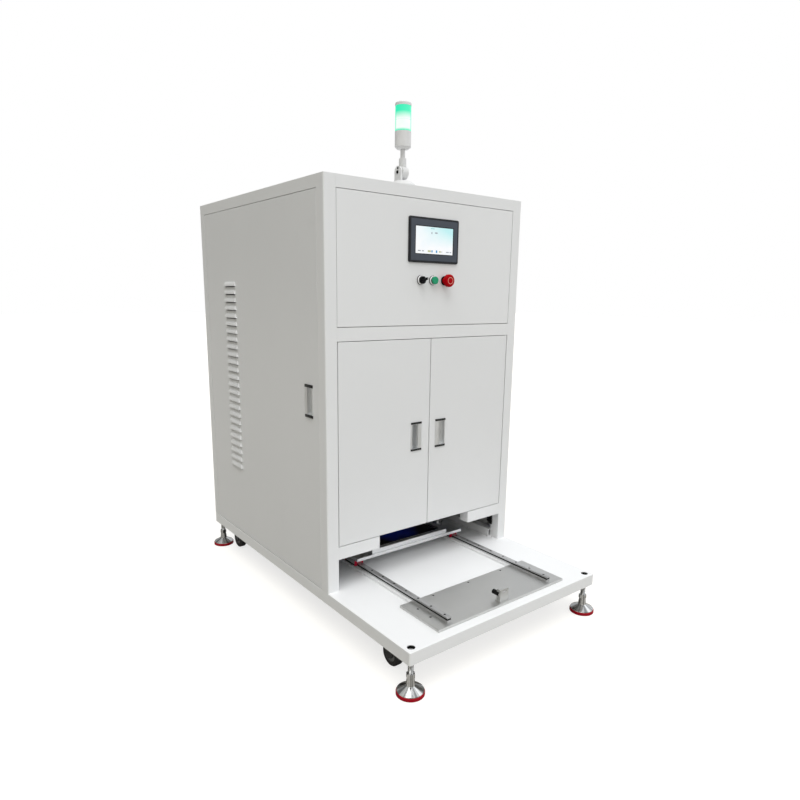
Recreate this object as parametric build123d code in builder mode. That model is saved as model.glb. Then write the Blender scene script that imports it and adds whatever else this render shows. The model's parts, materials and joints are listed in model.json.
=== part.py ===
"""Floor-standing reflow oven with a loading platform, in millimetres.

The origin is the middle of the footprint on the floor: +X to the right seen from the front,
+Y towards the back and +Z up.
"""

import os

from build123d import *

os.makedirs("parts", exist_ok=True)

# ---------------------------------------------------------------- driving dimensions
cabinet_width = 800
cabinet_depth = 920
cabinet_height = 1242  # deck to top cover
platform_reach = 408  # loading platform in front of the cabinet
deck_top = 138  # deck above the floor
deck_height = 38  # folded edge of the deck
deck_sheet = 3
panel_sheet = 1.5
tube_size = 40
tube_wall = 2.5
small_tube = 30
weld_gap = 0.2  # hairline between neighbouring tubes
seam = 1.5  # gap around the fixed panels
door_gap = 3

# ---------------------------------------------------------------- derived planes
half_width = cabinet_width / 2
footprint = cabinet_depth + platform_reach
platform_front = -footprint / 2
cabinet_front = platform_front + platform_reach
cabinet_rear = footprint / 2
cabinet_top = deck_top + cabinet_height
deck_bottom = deck_top - deck_height
post_inner = half_width - tube_size
front_rail_back = cabinet_front + tube_size
rear_rail_front = cabinet_rear - tube_size
sides = {"left": -1, "right": 1}


# ---------------------------------------------------------------- small helpers
def slab(low, high, mode=Mode.ADD):
    """Add or cut the box between two opposite corners."""
    size = [abs(b - a) for a, b in zip(low, high)]
    middle = [(a + b) / 2 for a, b in zip(low, high)]
    with Locations(Location(tuple(middle))):
        Box(*size, mode=mode)


def tube(low, high, along, wall=tube_wall):
    """Add a square tube between two corners, open at both ends along axis 0, 1 or 2."""
    slab(low, high)
    inset = [0 if axis == along else wall for axis in range(3)]
    slab([a + d for a, d in zip(low, inset)], [b - d for b, d in zip(high, inset)], Mode.SUBTRACT)


def bar(center, radius, height, axis="Z", mode=Mode.ADD):
    """Add or cut a round bar centred on a point, lying along X, Y or Z."""
    turn = {"X": (0, 90, 0), "Y": (90, 0, 0), "Z": (0, 0, 0)}[axis]
    with Locations(Location(center, turn)):
        Cylinder(radius, height, mode=mode)


def mirrored(side, x_low, x_high):
    """Give the x range of a piece on the left (-1) or right (1), from its distances."""
    return (side * x_high, side * x_low) if side < 0 else (x_low, x_high)


def save(part, name):
    """Label a finished piece and write it as one STEP file."""
    part.label = name
    export_step(part, f"parts/{name}.step")


# ---------------------------------------------------------------- base frame under the deck
foot_inset = 22  # foot axes from the platform's side and end edges
foot_x = half_width - foot_inset
foot_y = footprint / 2 - foot_inset
stem_radius = 8
clearance = 0.3
caster_x = 335
caster_front_y = cabinet_front - 276
caster_rear_y = cabinet_rear - 123
kingpin_radius = 6
caster_tube = 50
deck_hole_radius = 11.5
well_depth = 14  # open well around the top of each foot's stem
frame_top = deck_top - deck_sheet
frame_out = half_width - deck_sheet
frame_in = frame_out - tube_size
frame_end = footprint / 2 - deck_sheet
caster_rows = (caster_front_y, caster_rear_y)
mid_crosses = (cabinet_front + tube_size / 2, 150)

with BuildPart() as base_frame:
    for sx in (-1, 1):
        x_low, x_high = mirrored(sx, frame_in, frame_out)
        for sy in (-1, 1):
            y_low, y_high = mirrored(sy, frame_end - tube_size, frame_end)
            slab((x_low, y_low, deck_bottom), (x_high, y_high, frame_top))
        long_end = frame_end - tube_size - weld_gap
        tube((x_low, -long_end, deck_bottom), (x_high, long_end, frame_top), 1)
    cross_end = frame_in - weld_gap
    for sy in (-1, 1):
        y_low, y_high = mirrored(sy, frame_end - tube_size, frame_end)
        tube((-cross_end, y_low, deck_bottom), (cross_end, y_high, frame_top), 0)
    for y in mid_crosses:
        low = (-cross_end, y - tube_size / 2, deck_bottom)
        tube(low, (cross_end, y + tube_size / 2, frame_top), 0)
    boss_inner = cross_end - caster_tube
    for y in caster_rows:
        y_low, y_high = y - caster_tube / 2, y + caster_tube / 2
        tube_end = boss_inner - weld_gap
        tube((-tube_end, y_low, deck_bottom), (tube_end, y_high, frame_top), 0)
        for sx in (-1, 1):
            x_low, x_high = mirrored(sx, boss_inner, cross_end)
            slab((x_low, y_low, deck_bottom), (x_high, y_high, frame_top))
            kingpin_bore = kingpin_radius + clearance
            bar((sx * caster_x, y, frame_top - deck_height / 2), kingpin_bore, deck_height * 2,
                mode=Mode.SUBTRACT)
    for sx in (-1, 1):
        for sy in (-1, 1):
            stem_hole = (sx * foot_x, sy * foot_y, frame_top)
            bar(stem_hole, stem_radius + clearance, deck_height * 3, mode=Mode.SUBTRACT)
            bar(stem_hole, deck_hole_radius, 2 * well_depth, mode=Mode.SUBTRACT)
save(base_frame.part, "base_frame")

# ---------------------------------------------------------------- folded deck
deck_corner = 5
deck_edge = 2

with BuildPart() as deck_pan:
    slab((-half_width, -footprint / 2, deck_bottom), (half_width, footprint / 2, deck_top))
    fillet(deck_pan.edges().filter_by(Axis.Z), deck_corner)
    fillet(deck_pan.faces().sort_by(Axis.Z)[-1].edges(), deck_edge)
    slab((-frame_out, -frame_end, deck_bottom), (frame_out, frame_end, frame_top), Mode.SUBTRACT)
    for sx in (-1, 1):
        for sy in (-1, 1):
            bar((sx * foot_x, sy * foot_y, deck_top), deck_hole_radius, deck_height,
                mode=Mode.SUBTRACT)
save(deck_pan.part, "deck_pan")

# ---------------------------------------------------------------- cabinet frame
cover_sheet = 2
rail_height = 36
mid_rail_low = deck_top + 782
mid_rail_high = mid_rail_low + tube_size
stub_low = deck_top + 104
stub_high = deck_top + 145
notch_left = -202  # gap between the two lower stub rails
notch_right = 196
frame_z_top = cabinet_top - cover_sheet
top_rail_low = cabinet_top - rail_height
post_radius = 4
side_rail_in = half_width - 50
side_rail_out = side_rail_in + small_tube
side_mid_low = deck_top + 742
side_mid_high = side_mid_low + tube_size
bridge_y = -1  # over the middle of the hood
upright_y = -100  # carries the electrical plate
cylinder_hole = 11

with BuildPart() as cabinet_frame:
    for sx in (-1, 1):
        x_low, x_high = mirrored(sx, post_inner, half_width)
        for y_low, y_high in ((cabinet_front, front_rail_back), (rear_rail_front, cabinet_rear)):
            slab((x_low, y_low, deck_top), (x_high, y_high, frame_z_top))
    outer_corners = cabinet_frame.edges().filter_by(Axis.Z).filter_by(
        lambda edge: abs(edge.center().X) > half_width - 1
        and (edge.center().Y < cabinet_front + 1 or edge.center().Y > cabinet_rear - 1)
    )
    fillet(outer_corners, post_radius)
    for sx in (-1, 1):
        x_low, x_high = mirrored(sx, post_inner + tube_wall, half_width - tube_wall)
        for y_low, y_high in ((cabinet_front, front_rail_back), (rear_rail_front, cabinet_rear)):
            slab((x_low, y_low + tube_wall, deck_top), (x_high, y_high - tube_wall, frame_z_top),
                 Mode.SUBTRACT)
    rail_end = post_inner - weld_gap
    for low, high in ((mid_rail_low, mid_rail_high), (top_rail_low, frame_z_top)):
        tube((-rail_end, cabinet_front, low), (rail_end, front_rail_back, high), 0)
    tube((-rail_end, rear_rail_front, top_rail_low), (rail_end, cabinet_rear, frame_z_top), 0)
    rear_low = rear_rail_front - small_tube / 2
    tube((-rail_end, rear_low, deck_top), (rail_end, rear_low + small_tube, deck_top + small_tube), 0)
    for x_low, x_high in ((-rail_end, notch_left), (notch_right, rail_end)):
        slab((x_low, cabinet_front, stub_low), (x_high, front_rail_back, stub_high))
        inner_low = x_low if x_low < notch_left else x_low + tube_wall
        inner_high = x_high if x_high > notch_right else x_high - tube_wall
        slab((inner_low, cabinet_front + tube_wall, stub_low + tube_wall),
             (inner_high, front_rail_back - tube_wall, stub_high - tube_wall), Mode.SUBTRACT)
    side_front = front_rail_back + weld_gap
    side_rear = rear_rail_front - weld_gap
    for sx in (-1, 1):
        x_low, x_high = mirrored(sx, post_inner, half_width)
        tube((x_low, side_front, top_rail_low), (x_high, side_rear, frame_z_top), 1)
        x_low, x_high = mirrored(sx, side_rail_in, side_rail_out)
        tube((x_low, side_front, side_mid_low), (x_high, side_rear, side_mid_high), 1)
        bottom_rear = rear_low - weld_gap
        tube((x_low, side_front, deck_top), (x_high, bottom_rear, deck_top + small_tube), 1)
        tube((x_low, upright_y - small_tube / 2, side_mid_high + weld_gap),
             (x_high, upright_y + small_tube / 2, top_rail_low - weld_gap), 2)
    bridge_end = side_rail_in - weld_gap
    bridge_low = (-bridge_end, bridge_y - tube_size / 2, side_mid_low)
    tube(bridge_low, (bridge_end, bridge_y + tube_size / 2, side_mid_high), 0)
    bar((0, bridge_y, side_mid_low), cylinder_hole, tube_size * 3, mode=Mode.SUBTRACT)
save(cabinet_frame.part, "cabinet_frame")

# ---------------------------------------------------------------- top cover
with BuildPart() as top_cover:
    slab((-half_width, cabinet_front, frame_z_top), (half_width, cabinet_rear, cabinet_top))
    fillet(top_cover.edges().filter_by(Axis.Z), post_radius)
    fillet(top_cover.faces().sort_by(Axis.Z)[-1].edges(), cover_sheet / 2)
save(top_cover.part, "top_cover")

# ---------------------------------------------------------------- rear panel
panel_fold = 18  # depth of the folded edges of the panels
tab_reach = 20
tab_height = 30
tab_sheet = 2
rear_x = post_inner - seam
rear_z_low = deck_top + door_gap
rear_z_high = top_rail_low - seam
vent_length = 60
vent_width = 6
vent_rows = 9
vent_columns = 2
vent_pitch = (78, 18)
vent_group_x = (-200, 0, 200)
vent_group_z = deck_top + 330
exhaust_z = cabinet_top - 170
exhaust_radius = 50
exhaust_bolt_circle = 60
exhaust_bolt_radius = 2.75
cable_hole_radius = 16
cable_hole_x = 280
cable_hole_z = deck_top + 90

with BuildPart() as rear_panel:
    slab((-rear_x, cabinet_rear - panel_fold, rear_z_low), (rear_x, cabinet_rear, rear_z_high))
    fillet(rear_panel.faces().sort_by(Axis.Y)[-1].edges(), panel_sheet)
    inner_x = rear_x - panel_sheet
    slab((-inner_x, cabinet_rear - panel_fold, rear_z_low + panel_sheet),
         (inner_x, cabinet_rear - panel_sheet, rear_z_high - panel_sheet), Mode.SUBTRACT)
    tab_front = cabinet_rear - panel_fold
    for sx in (-1, 1):
        for z in (rear_z_low + tab_reach * 3, rear_z_high - tab_reach * 3):
            x_low, x_high = mirrored(sx, post_inner - tab_reach, post_inner)
            slab((x_low, tab_front, z), (x_high, tab_front + tab_sheet, z + tab_height))
    rear_face = Plane((0, cabinet_rear, 0), x_dir=(1, 0, 0), z_dir=(0, -1, 0))
    with BuildSketch(rear_face) as rear_cuts:
        with Locations((0, exhaust_z)):
            Circle(exhaust_radius)
            with PolarLocations(exhaust_bolt_circle, 4, start_angle=45):
                Circle(exhaust_bolt_radius)
        with Locations((cable_hole_x, cable_hole_z)):
            Circle(cable_hole_radius)
        for x in vent_group_x:
            with Locations((x, vent_group_z)):
                with GridLocations(*vent_pitch, vent_columns, vent_rows):
                    SlotOverall(vent_length, vent_width)
    extrude(amount=panel_fold / 2, mode=Mode.SUBTRACT)
save(rear_panel.part, "rear_panel")

# ---------------------------------------------------------------- control panel
control_x = post_inner - seam
control_low = mid_rail_high + seam
control_high = top_rail_low - seam
control_sheet = 2
screen_mid_z = deck_top + 1085
bezel_half = (102, 68)
bezel_proud = 6
bezel_edge = 2.4
body_half = (95, 61)
body_depth = 40
screen_half = (77, 40.5)
operator_z = deck_top + 964
operator_pitch = 50
operator_x = {"selector": -operator_pitch, "start": 0, "estop": operator_pitch}
barrel_radius = 11.2
ring_radius = 14.75

with BuildPart() as control_panel:
    slab((-control_x, cabinet_front, control_low),
         (control_x, cabinet_front + panel_fold, control_high))
    fillet(control_panel.faces().sort_by(Axis.Y)[0].edges(), panel_sheet)
    slab((-control_x + control_sheet, cabinet_front + control_sheet, control_low + control_sheet),
         (control_x - control_sheet, cabinet_front + panel_fold, control_high - control_sheet),
         Mode.SUBTRACT)
    for sx in (-1, 1):
        for z in (control_low + tab_reach, control_high - tab_reach * 2):
            x_low, x_high = mirrored(sx, post_inner - tab_reach, post_inner)
            back = cabinet_front + panel_fold
            slab((x_low, back - tab_sheet, z), (x_high, back, z + tab_reach))
    slab((-body_half[0], cabinet_front, screen_mid_z - body_half[1]),
         (body_half[0], cabinet_front + panel_fold, screen_mid_z + body_half[1]), Mode.SUBTRACT)
    for x in operator_x.values():
        bar((x, cabinet_front, operator_z), barrel_radius, panel_fold, "Y", Mode.SUBTRACT)
save(control_panel.part, "control_panel")

# ---------------------------------------------------------------- touch screen
bezel_front = cabinet_front - bezel_proud
screen_recess = 0.8
screen_depth = 2

with BuildPart() as hmi_housing:
    slab((-bezel_half[0], bezel_front, screen_mid_z - bezel_half[1]),
         (bezel_half[0], cabinet_front, screen_mid_z + bezel_half[1]))
    fillet(hmi_housing.edges().filter_by(Axis.Y), bezel_proud)
    fillet(hmi_housing.faces().sort_by(Axis.Y)[0].edges(), bezel_edge)
    slab((-body_half[0], cabinet_front, screen_mid_z - body_half[1]),
         (body_half[0], cabinet_front + body_depth, screen_mid_z + body_half[1]))
    slab((-screen_half[0], bezel_front, screen_mid_z - screen_half[1]),
         (screen_half[0], bezel_front + screen_recess + screen_depth, screen_mid_z + screen_half[1]),
         Mode.SUBTRACT)
save(hmi_housing.part, "hmi_housing")

with BuildPart() as hmi_screen:
    slab((-screen_half[0], bezel_front + screen_recess, screen_mid_z - screen_half[1]),
         (screen_half[0], bezel_front + screen_recess + screen_depth, screen_mid_z + screen_half[1]))
save(hmi_screen.part, "hmi_screen")

# ---------------------------------------------------------------- bases of the three operators
operator_bore = 10
barrel_depth = 30
bore_depth = 18
collar_radius = 13
collar_height = 6
collar_taper = 15
skirt_height = 2.5
nut_radius = 15
nut_height = 6


def operator_base(x, front_ring):
    """Base of one operator: skirt on the panel, collar in front, barrel and nut behind."""
    face_plane = Plane((x, cabinet_front, operator_z), x_dir=(1, 0, 0), z_dir=(0, -1, 0))
    with BuildSketch(face_plane) as skirt:
        Circle(ring_radius)
    extrude(skirt.sketch, amount=skirt_height if front_ring else skirt_height / 2)
    if front_ring:
        with BuildSketch(face_plane.offset(skirt_height)) as collar:
            Circle(collar_radius)
        extrude(collar.sketch, amount=collar_height - skirt_height, taper=collar_taper)
    with BuildSketch(face_plane) as barrel:
        Circle(barrel_radius)
    extrude(barrel.sketch, amount=-barrel_depth)
    with BuildSketch(face_plane.offset(-control_sheet)) as nut:
        RegularPolygon(nut_radius, 6)
    extrude(nut.sketch, amount=-nut_height)
    with BuildSketch(face_plane.offset(collar_height)) as bore:
        Circle(operator_bore)
    extrude(bore.sketch, amount=-(collar_height + bore_depth), mode=Mode.SUBTRACT)


with BuildPart() as control_bases:
    operator_base(operator_x["selector"], True)
    operator_base(operator_x["start"], True)
    operator_base(operator_x["estop"], False)
save(control_bases.part, "control_bases")

# ---------------------------------------------------------------- operators that move
cap_radius = operator_bore - clearance
button_back = cabinet_front - 10
button_front = cabinet_front - 16
button_radius = 12
stem_back = cabinet_front + 11
selector_disc_radius = 11.5
selector_disc_height = 8
selector_angle = 22
lever_length = 26
lever_offset = 2.5
lever_width = 7
lever_height = 8
knob_edge = 1.2
button_edge = 2
estop_skirt_radius = 13
estop_head_radius = 20
estop_skirt_back = cabinet_front - 7
estop_skirt_front = cabinet_front - 14
estop_front = cabinet_front - 30
estop_flare = 4
estop_round = 6
estop_groove = (11, 9, 1.5)


def operator_plane(name, y):
    """Plane facing the operator, with its origin on the named operator's axis."""
    return Plane((operator_x[name], y, operator_z), x_dir=(1, 0, 0), z_dir=(0, -1, 0))


with BuildPart() as selector_knob:
    disc_back = cabinet_front - collar_height - clearance
    with BuildSketch(operator_plane("selector", stem_back)):
        Circle(cap_radius)
    extrude(amount=stem_back - disc_back)
    with BuildSketch(operator_plane("selector", disc_back)):
        Circle(selector_disc_radius)
    extrude(amount=selector_disc_height)
    with BuildSketch(operator_plane("selector", disc_back - selector_disc_height)):
        with PolarLocations(lever_offset, 1, start_angle=selector_angle):
            SlotOverall(lever_length, lever_width)
    extrude(amount=lever_height)
    fillet(selector_knob.faces().sort_by(Axis.Y)[0].edges(), knob_edge)
save(selector_knob.part, "selector_knob")

with BuildPart() as start_button:
    with BuildSketch(operator_plane("start", stem_back)):
        Circle(cap_radius)
    extrude(amount=stem_back - button_back)
    with BuildSketch(operator_plane("start", button_back)):
        Circle(button_radius)
    extrude(amount=button_back - button_front)
    fillet(start_button.faces().sort_by(Axis.Y)[0].edges(), button_edge)
save(start_button.part, "start_button")

with BuildPart() as estop_head:
    head_middle = estop_skirt_front - estop_flare
    with BuildSketch(operator_plane("estop", stem_back)):
        Circle(cap_radius)
    extrude(amount=stem_back - estop_skirt_back)
    with BuildSketch(operator_plane("estop", estop_skirt_back)):
        Circle(estop_skirt_radius)
    extrude(amount=estop_skirt_back - estop_skirt_front)
    with BuildSketch(operator_plane("estop", estop_skirt_front)):
        Circle(estop_head_radius - estop_flare)
    with BuildSketch(operator_plane("estop", head_middle)):
        Circle(estop_head_radius)
    loft()
    with BuildSketch(operator_plane("estop", head_middle)):
        Circle(estop_head_radius)
    extrude(amount=head_middle - estop_front)
    fillet(estop_head.faces().sort_by(Axis.Y)[0].edges(), estop_round)
    with BuildSketch(operator_plane("estop", estop_front)):
        Circle(estop_groove[0])
        Circle(estop_groove[1], mode=Mode.SUBTRACT)
    extrude(amount=-estop_groove[2], mode=Mode.SUBTRACT)
save(estop_head.part, "estop_head")

# ---------------------------------------------------------------- flush pull handles
handle_proud = 2
handle_wall = 1.5
handle_depth = 16
handle_rim = 4
handle_end = 7
lip_width = 10
lip_thickness = 1.5
fit_gap = 0.5


def pull_handle(plane, width, height, lip_side):
    """Flush cup with a finger lip on one side of its opening, hollow behind the lip."""
    with BuildSketch(plane) as rim:
        RectangleRounded(width, height, handle_rim)
    extrude(rim.sketch, amount=handle_proud)
    with BuildSketch(plane) as cup:
        Rectangle(width - handle_rim, height - handle_rim)
    extrude(cup.sketch, amount=-handle_depth)
    inner_width = width - 2 * handle_rim
    inner_height = height - 2 * handle_end
    with BuildSketch(plane.offset(handle_proud)) as mouth:
        with Locations((-lip_side * lip_width / 2, 0)):
            Rectangle(inner_width - lip_width, inner_height)
    floor_depth = handle_proud + handle_depth - handle_wall
    extrude(mouth.sketch, amount=-floor_depth, mode=Mode.SUBTRACT)
    with BuildSketch(plane.offset(handle_proud - lip_thickness)) as hollow:
        Rectangle(inner_width, inner_height)
    extrude(hollow.sketch, amount=lip_thickness - floor_depth, mode=Mode.SUBTRACT)


# ---------------------------------------------------------------- doors
door_end_gap = 2
door_low = stub_high + door_end_gap
door_high = mid_rail_low - door_end_gap
door_outer = post_inner - door_gap
door_inner = 1.5
door_depth = 22
door_lip = 14
pin_radius = 2.5
pin_length = 16
pin_clearance = 0.1
pin_x = door_outer - 5.5
pin_y = cabinet_front + 5
boss_size = (18, 14, 18)
boss_inset = 1
door_handle_size = (43, 95)
door_handle_z = deck_top + 461.5
door_handle_x = {"left": -57, "right": 48}

for side, sx in sides.items():
    x_low, x_high = mirrored(sx, door_inner, door_outer)
    door_back = cabinet_front + door_depth
    handle_plane = Plane((door_handle_x[side], cabinet_front, door_handle_z),
                         x_dir=(1, 0, 0), z_dir=(0, -1, 0))
    with BuildPart() as door:
        slab((x_low, cabinet_front, door_low), (x_high, door_back, door_high))
        fillet(door.faces().sort_by(Axis.Y)[0].edges(), panel_sheet)
        slab((x_low + panel_sheet, cabinet_front + panel_sheet, door_low + panel_sheet),
             (x_high - panel_sheet, door_back - panel_sheet, door_high - panel_sheet),
             Mode.SUBTRACT)
        slab((x_low + door_lip, door_back - door_depth / 2, door_low + door_lip),
             (x_high - door_lip, door_back, door_high - door_lip), Mode.SUBTRACT)
        boss_x = sx * (door_outer - boss_inset - boss_size[0] / 2)
        boss_y = cabinet_front + 2 * boss_inset + boss_size[1] / 2
        for z_low, z_high in ((door_low, door_low + boss_size[2]),
                              (door_high - boss_size[2], door_high)):
            with BuildSketch(Plane.XY.offset(z_low)):
                with Locations((boss_x, boss_y)):
                    Rectangle(boss_size[0], boss_size[1])
            extrude(amount=z_high - z_low)
        for z in (door_low, door_high):
            bar((sx * pin_x, pin_y, z), pin_radius + pin_clearance, 2 * pin_length,
                mode=Mode.SUBTRACT)
        with BuildSketch(handle_plane):
            Rectangle(door_handle_size[0] - handle_rim + fit_gap,
                      door_handle_size[1] - handle_rim + fit_gap)
        extrude(amount=-door_depth / 2, mode=Mode.SUBTRACT)
    save(door.part, f"{side}_door")
    with BuildPart() as door_handle:
        pull_handle(handle_plane, *door_handle_size, -sx)
    save(door_handle.part, f"{side}_door_handle")

with BuildPart() as hinge_pins:
    for sx in (-1, 1):
        bar((sx * pin_x, pin_y, stub_high + pin_length / 2), pin_radius, pin_length)
        bar((sx * pin_x, pin_y, mid_rail_low - pin_length / 2), pin_radius, pin_length)
save(hinge_pins.part, "hinge_pins")

# ---------------------------------------------------------------- side panels with louvres
side_y_low = front_rail_back + seam
side_y_high = rear_rail_front - seam
side_z_low = deck_top + door_gap
side_z_high = top_rail_low - seam
louvre_count = 25
louvre_pitch = 28.2
louvre_low_z = deck_top + 272
louvre_y = cabinet_front + 660.5
louvre_length = 94
louvre_height = 15.5
louvre_proud = 6.5
louvre_skin = 1.2
louvre_swell = (0.72, 0.05)  # height and rise of the curved face, as shares of the whole
louvre_end_slope = 5  # how far each end leans in towards the top
louvre_slot_drop = 3.5  # how far the slot runs on below the hood
side_handle_size = (45, 101)
side_handle_y = cabinet_front + 97
side_handle_z = deck_top + 597.5


def hood_body(skin):
    """Louvre hood that narrows upwards, set in by the skin for the hollow inside it."""
    half = louvre_length / 2 - skin
    reach = louvre_proud - skin
    with BuildPart() as body:
        with BuildSketch(Plane((0, half, 0), x_dir=(1, 0, 0), z_dir=(0, -1, 0))):
            with BuildLine():
                top = (0, louvre_height / 2 - skin)
                swell = (-reach * louvre_swell[0], louvre_height * louvre_swell[1])
                lip = (-reach, -louvre_height / 2)
                root = (0, -louvre_height / 2)
                ThreePointArc(top, swell, lip)
                Line(lip, root)
                Line(root, top)
            make_face()
        extrude(amount=2 * half)
        with BuildSketch(Plane.YZ):
            with BuildLine():
                Polyline((-half, -louvre_height / 2), (half, -louvre_height / 2),
                         (half - louvre_end_slope, louvre_height / 2),
                         (louvre_end_slope - half, louvre_height / 2), close=True)
            make_face()
        extrude(amount=-louvre_proud, mode=Mode.INTERSECT)
    return body.part


with BuildPart() as louvre:
    add(hood_body(0))
    add(hood_body(louvre_skin), mode=Mode.SUBTRACT)

slot_half = louvre_length / 2 - louvre_skin - louvre_end_slope
slot_high = louvre_height / 2 - louvre_skin
slot_low = -louvre_height / 2 - louvre_slot_drop
louvre_spots = [Location((-half_width, louvre_y, louvre_low_z + i * louvre_pitch))
                for i in range(louvre_count)]
side_handle_plane = Plane((-half_width, side_handle_y, side_handle_z),
                          x_dir=(0, 1, 0), z_dir=(-1, 0, 0))

with BuildPart() as left_side_panel:
    slab((-half_width, side_y_low, side_z_low), (-half_width + panel_fold, side_y_high, side_z_high))
    fillet(left_side_panel.faces().sort_by(Axis.X)[0].edges(), panel_sheet)
    slab((-half_width + panel_sheet, side_y_low + panel_sheet, side_z_low + panel_sheet),
         (-half_width + panel_fold, side_y_high - panel_sheet, side_z_high - panel_sheet),
         Mode.SUBTRACT)
    with Locations(*louvre_spots):
        with Locations((0, 0, (slot_low + slot_high) / 2)):
            Box(4 * panel_sheet, 2 * slot_half, slot_high - slot_low, mode=Mode.SUBTRACT)
    with BuildSketch(side_handle_plane):
        Rectangle(side_handle_size[0] - handle_rim + fit_gap,
                  side_handle_size[1] - handle_rim + fit_gap)
    extrude(amount=-panel_fold / 2, mode=Mode.SUBTRACT)
    with Locations(*louvre_spots):
        add(louvre.part)
save(left_side_panel.part, "left_side_panel")

with BuildPart() as left_panel_handle:
    pull_handle(side_handle_plane, *side_handle_size, 1)
save(left_panel_handle.part, "left_panel_handle")

with BuildPart() as right_side_panel:
    mirror(left_side_panel.part, about=Plane.YZ)
save(right_side_panel.part, "right_side_panel")

with BuildPart() as right_panel_handle:
    mirror(left_panel_handle.part, about=Plane.YZ)
save(right_panel_handle.part, "right_panel_handle")

# ---------------------------------------------------------------- linear rails on the deck
rail_x = 218
rail_size = 15
rail_length = 880
rail_front = platform_front + 48
rail_pitch = 60
rail_end_hole = 20
groove = 1.6
groove_heights = (6, 8, 10)
plate_height = 8
plate_half = 272
plate_front = platform_front + 31
plate_depth = 177
bed_width = 32
rail_low = deck_top + plate_height
rail_top = rail_low + rail_size
rail_rear = rail_front + rail_length
hole_count = int((rail_length - 2 * rail_end_hole) / rail_pitch) + 1
counterbore = (3.75, 5.3)
rail_bolt_radius = 2.25

with BuildPart() as guide_rails:
    for sx in (-1, 1):
        with BuildSketch(Plane((sx * rail_x, rail_front, rail_low), x_dir=(1, 0, 0),
                               z_dir=(0, -1, 0))):
            half = rail_size / 2
            groove_low, groove_mid, groove_high = groove_heights
            with BuildLine():
                right = [(half, 0), (half, groove_low), (half - groove, groove_mid),
                         (half, groove_high), (half, rail_size)]
                left = [(-x, z) for x, z in reversed(right)]
                Polyline(*right, *left, close=True)
            make_face()
        extrude(amount=-rail_length)
    with Locations(Plane.XY.offset(rail_top)):
        hole_ys = [rail_front + rail_end_hole + i * rail_pitch for i in range(hole_count)]
        with Locations(*[(sx * rail_x, y) for sx in (-1, 1) for y in hole_ys]):
            CounterBoreHole(rail_bolt_radius, *counterbore)
save(guide_rails.part, "guide_rails")

plate_rear = plate_front + plate_depth
plate_edge = 0.8
outer_screw_x = 243
outer_screw_offsets = (70, 128)  # from the plate's front edge
edge_screw_x = (-150, 0, 150)
edge_screw_inset = 12
screw_bore = (2.2, 4, 4)

with BuildPart() as rail_beds:
    for sx in (-1, 1):
        slab((sx * rail_x - bed_width / 2, plate_rear, deck_top),
             (sx * rail_x + bed_width / 2, rail_rear, rail_low))
save(rail_beds.part, "rail_beds")

with BuildPart() as landing_plate:
    slab((-plate_half, plate_front, deck_top), (plate_half, plate_rear, rail_low))
    chamfer(landing_plate.faces().sort_by(Axis.Z)[-1].edges(), plate_edge)
    screw_spots = [(x, plate_rear - edge_screw_inset) for x in edge_screw_x]
    screw_spots += [(sx * outer_screw_x, plate_front + offset)
                    for sx in (-1, 1) for offset in outer_screw_offsets]
    with Locations(Plane.XY.offset(rail_low)):
        with Locations(*screw_spots):
            CounterBoreHole(*screw_bore)
save(landing_plate.part, "landing_plate")

# ---------------------------------------------------------------- end stop and limit tab
stop_half = 18
stop_height = 40
stop_front = plate_front + 9
stop_sheet = 3
stop_foot_depth = 20
stop_flange_depth = 15
stop_slot = (18, 5)
slot_drop = 9
bumper_radius = 7
bumper_rear = stop_front + 32
bumper_height = 25
tab_near = 14  # limit tab beside the right rail, measured from the rail's axis
tab_far = 42
tab_back = 18
tab_depth = 34

with BuildPart() as stop_bracket:
    stop_top = rail_low + stop_height
    slab((-stop_half, stop_front, rail_low), (stop_half, stop_front + stop_sheet, stop_top))
    slab((-stop_half, stop_front, rail_low),
         (stop_half, stop_front + stop_foot_depth, rail_low + stop_sheet))
    slab((-stop_half, stop_front, rail_low),
         (-stop_half + stop_sheet, stop_front + stop_flange_depth, stop_top))
    stop_face = Plane((0, stop_front, stop_top - slot_drop), x_dir=(1, 0, 0), z_dir=(0, -1, 0))
    with BuildSketch(stop_face):
        SlotOverall(*stop_slot)
    extrude(amount=-stop_sheet, mode=Mode.SUBTRACT)
    bumper_middle = (stop_front + stop_sheet + bumper_rear) / 2
    bar((-stop_half + stop_sheet, bumper_middle, rail_low + bumper_height), bumper_radius,
        bumper_rear - stop_front - stop_sheet, "Y")
    slab((rail_x + tab_near, plate_rear - tab_back - tab_depth, rail_low),
         (rail_x + tab_far, plate_rear - tab_back, rail_low + stop_sheet))
save(stop_bracket.part, "stop_bracket")

# ---------------------------------------------------------------- tray carriage
block_length = 53.4
block_width = 34
block_low = rail_low + 4.3
block_high = rail_low + 28
seal_length = 4
seal_inset = 0.4
channel_gap = 0.4
channel_half = rail_size / 2 + channel_gap
channel_top = rail_top + channel_gap
bar_edge = 0.6
tray_corner = 4
front_block = cabinet_front + 97
block_spacing = 247
bar_front = cabinet_front + 77
bar_depth = 70
bar_half = 238
bar_height = 10
tray_half = 172
tray_front = cabinet_front + 85
tray_length = 340
tray_height = 13
tray_rim = 20
tray_floor = 3
block_starts = [front_block + seal_length + i * block_spacing for i in range(2)]


def saddle(x, y, length, shrink=0):
    """Add a block that straddles one rail, from y back by its length."""
    slab((x - block_width / 2 + shrink, y, block_low + shrink),
         (x + block_width / 2 - shrink, y + length, block_high - shrink))
    slab((x - channel_half, y, block_low), (x + channel_half, y + length, channel_top), Mode.SUBTRACT)


with BuildPart() as carriage_blocks:
    for sx in (-1, 1):
        for y in block_starts:
            saddle(sx * rail_x, y, block_length)
save(carriage_blocks.part, "carriage_blocks")

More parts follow.
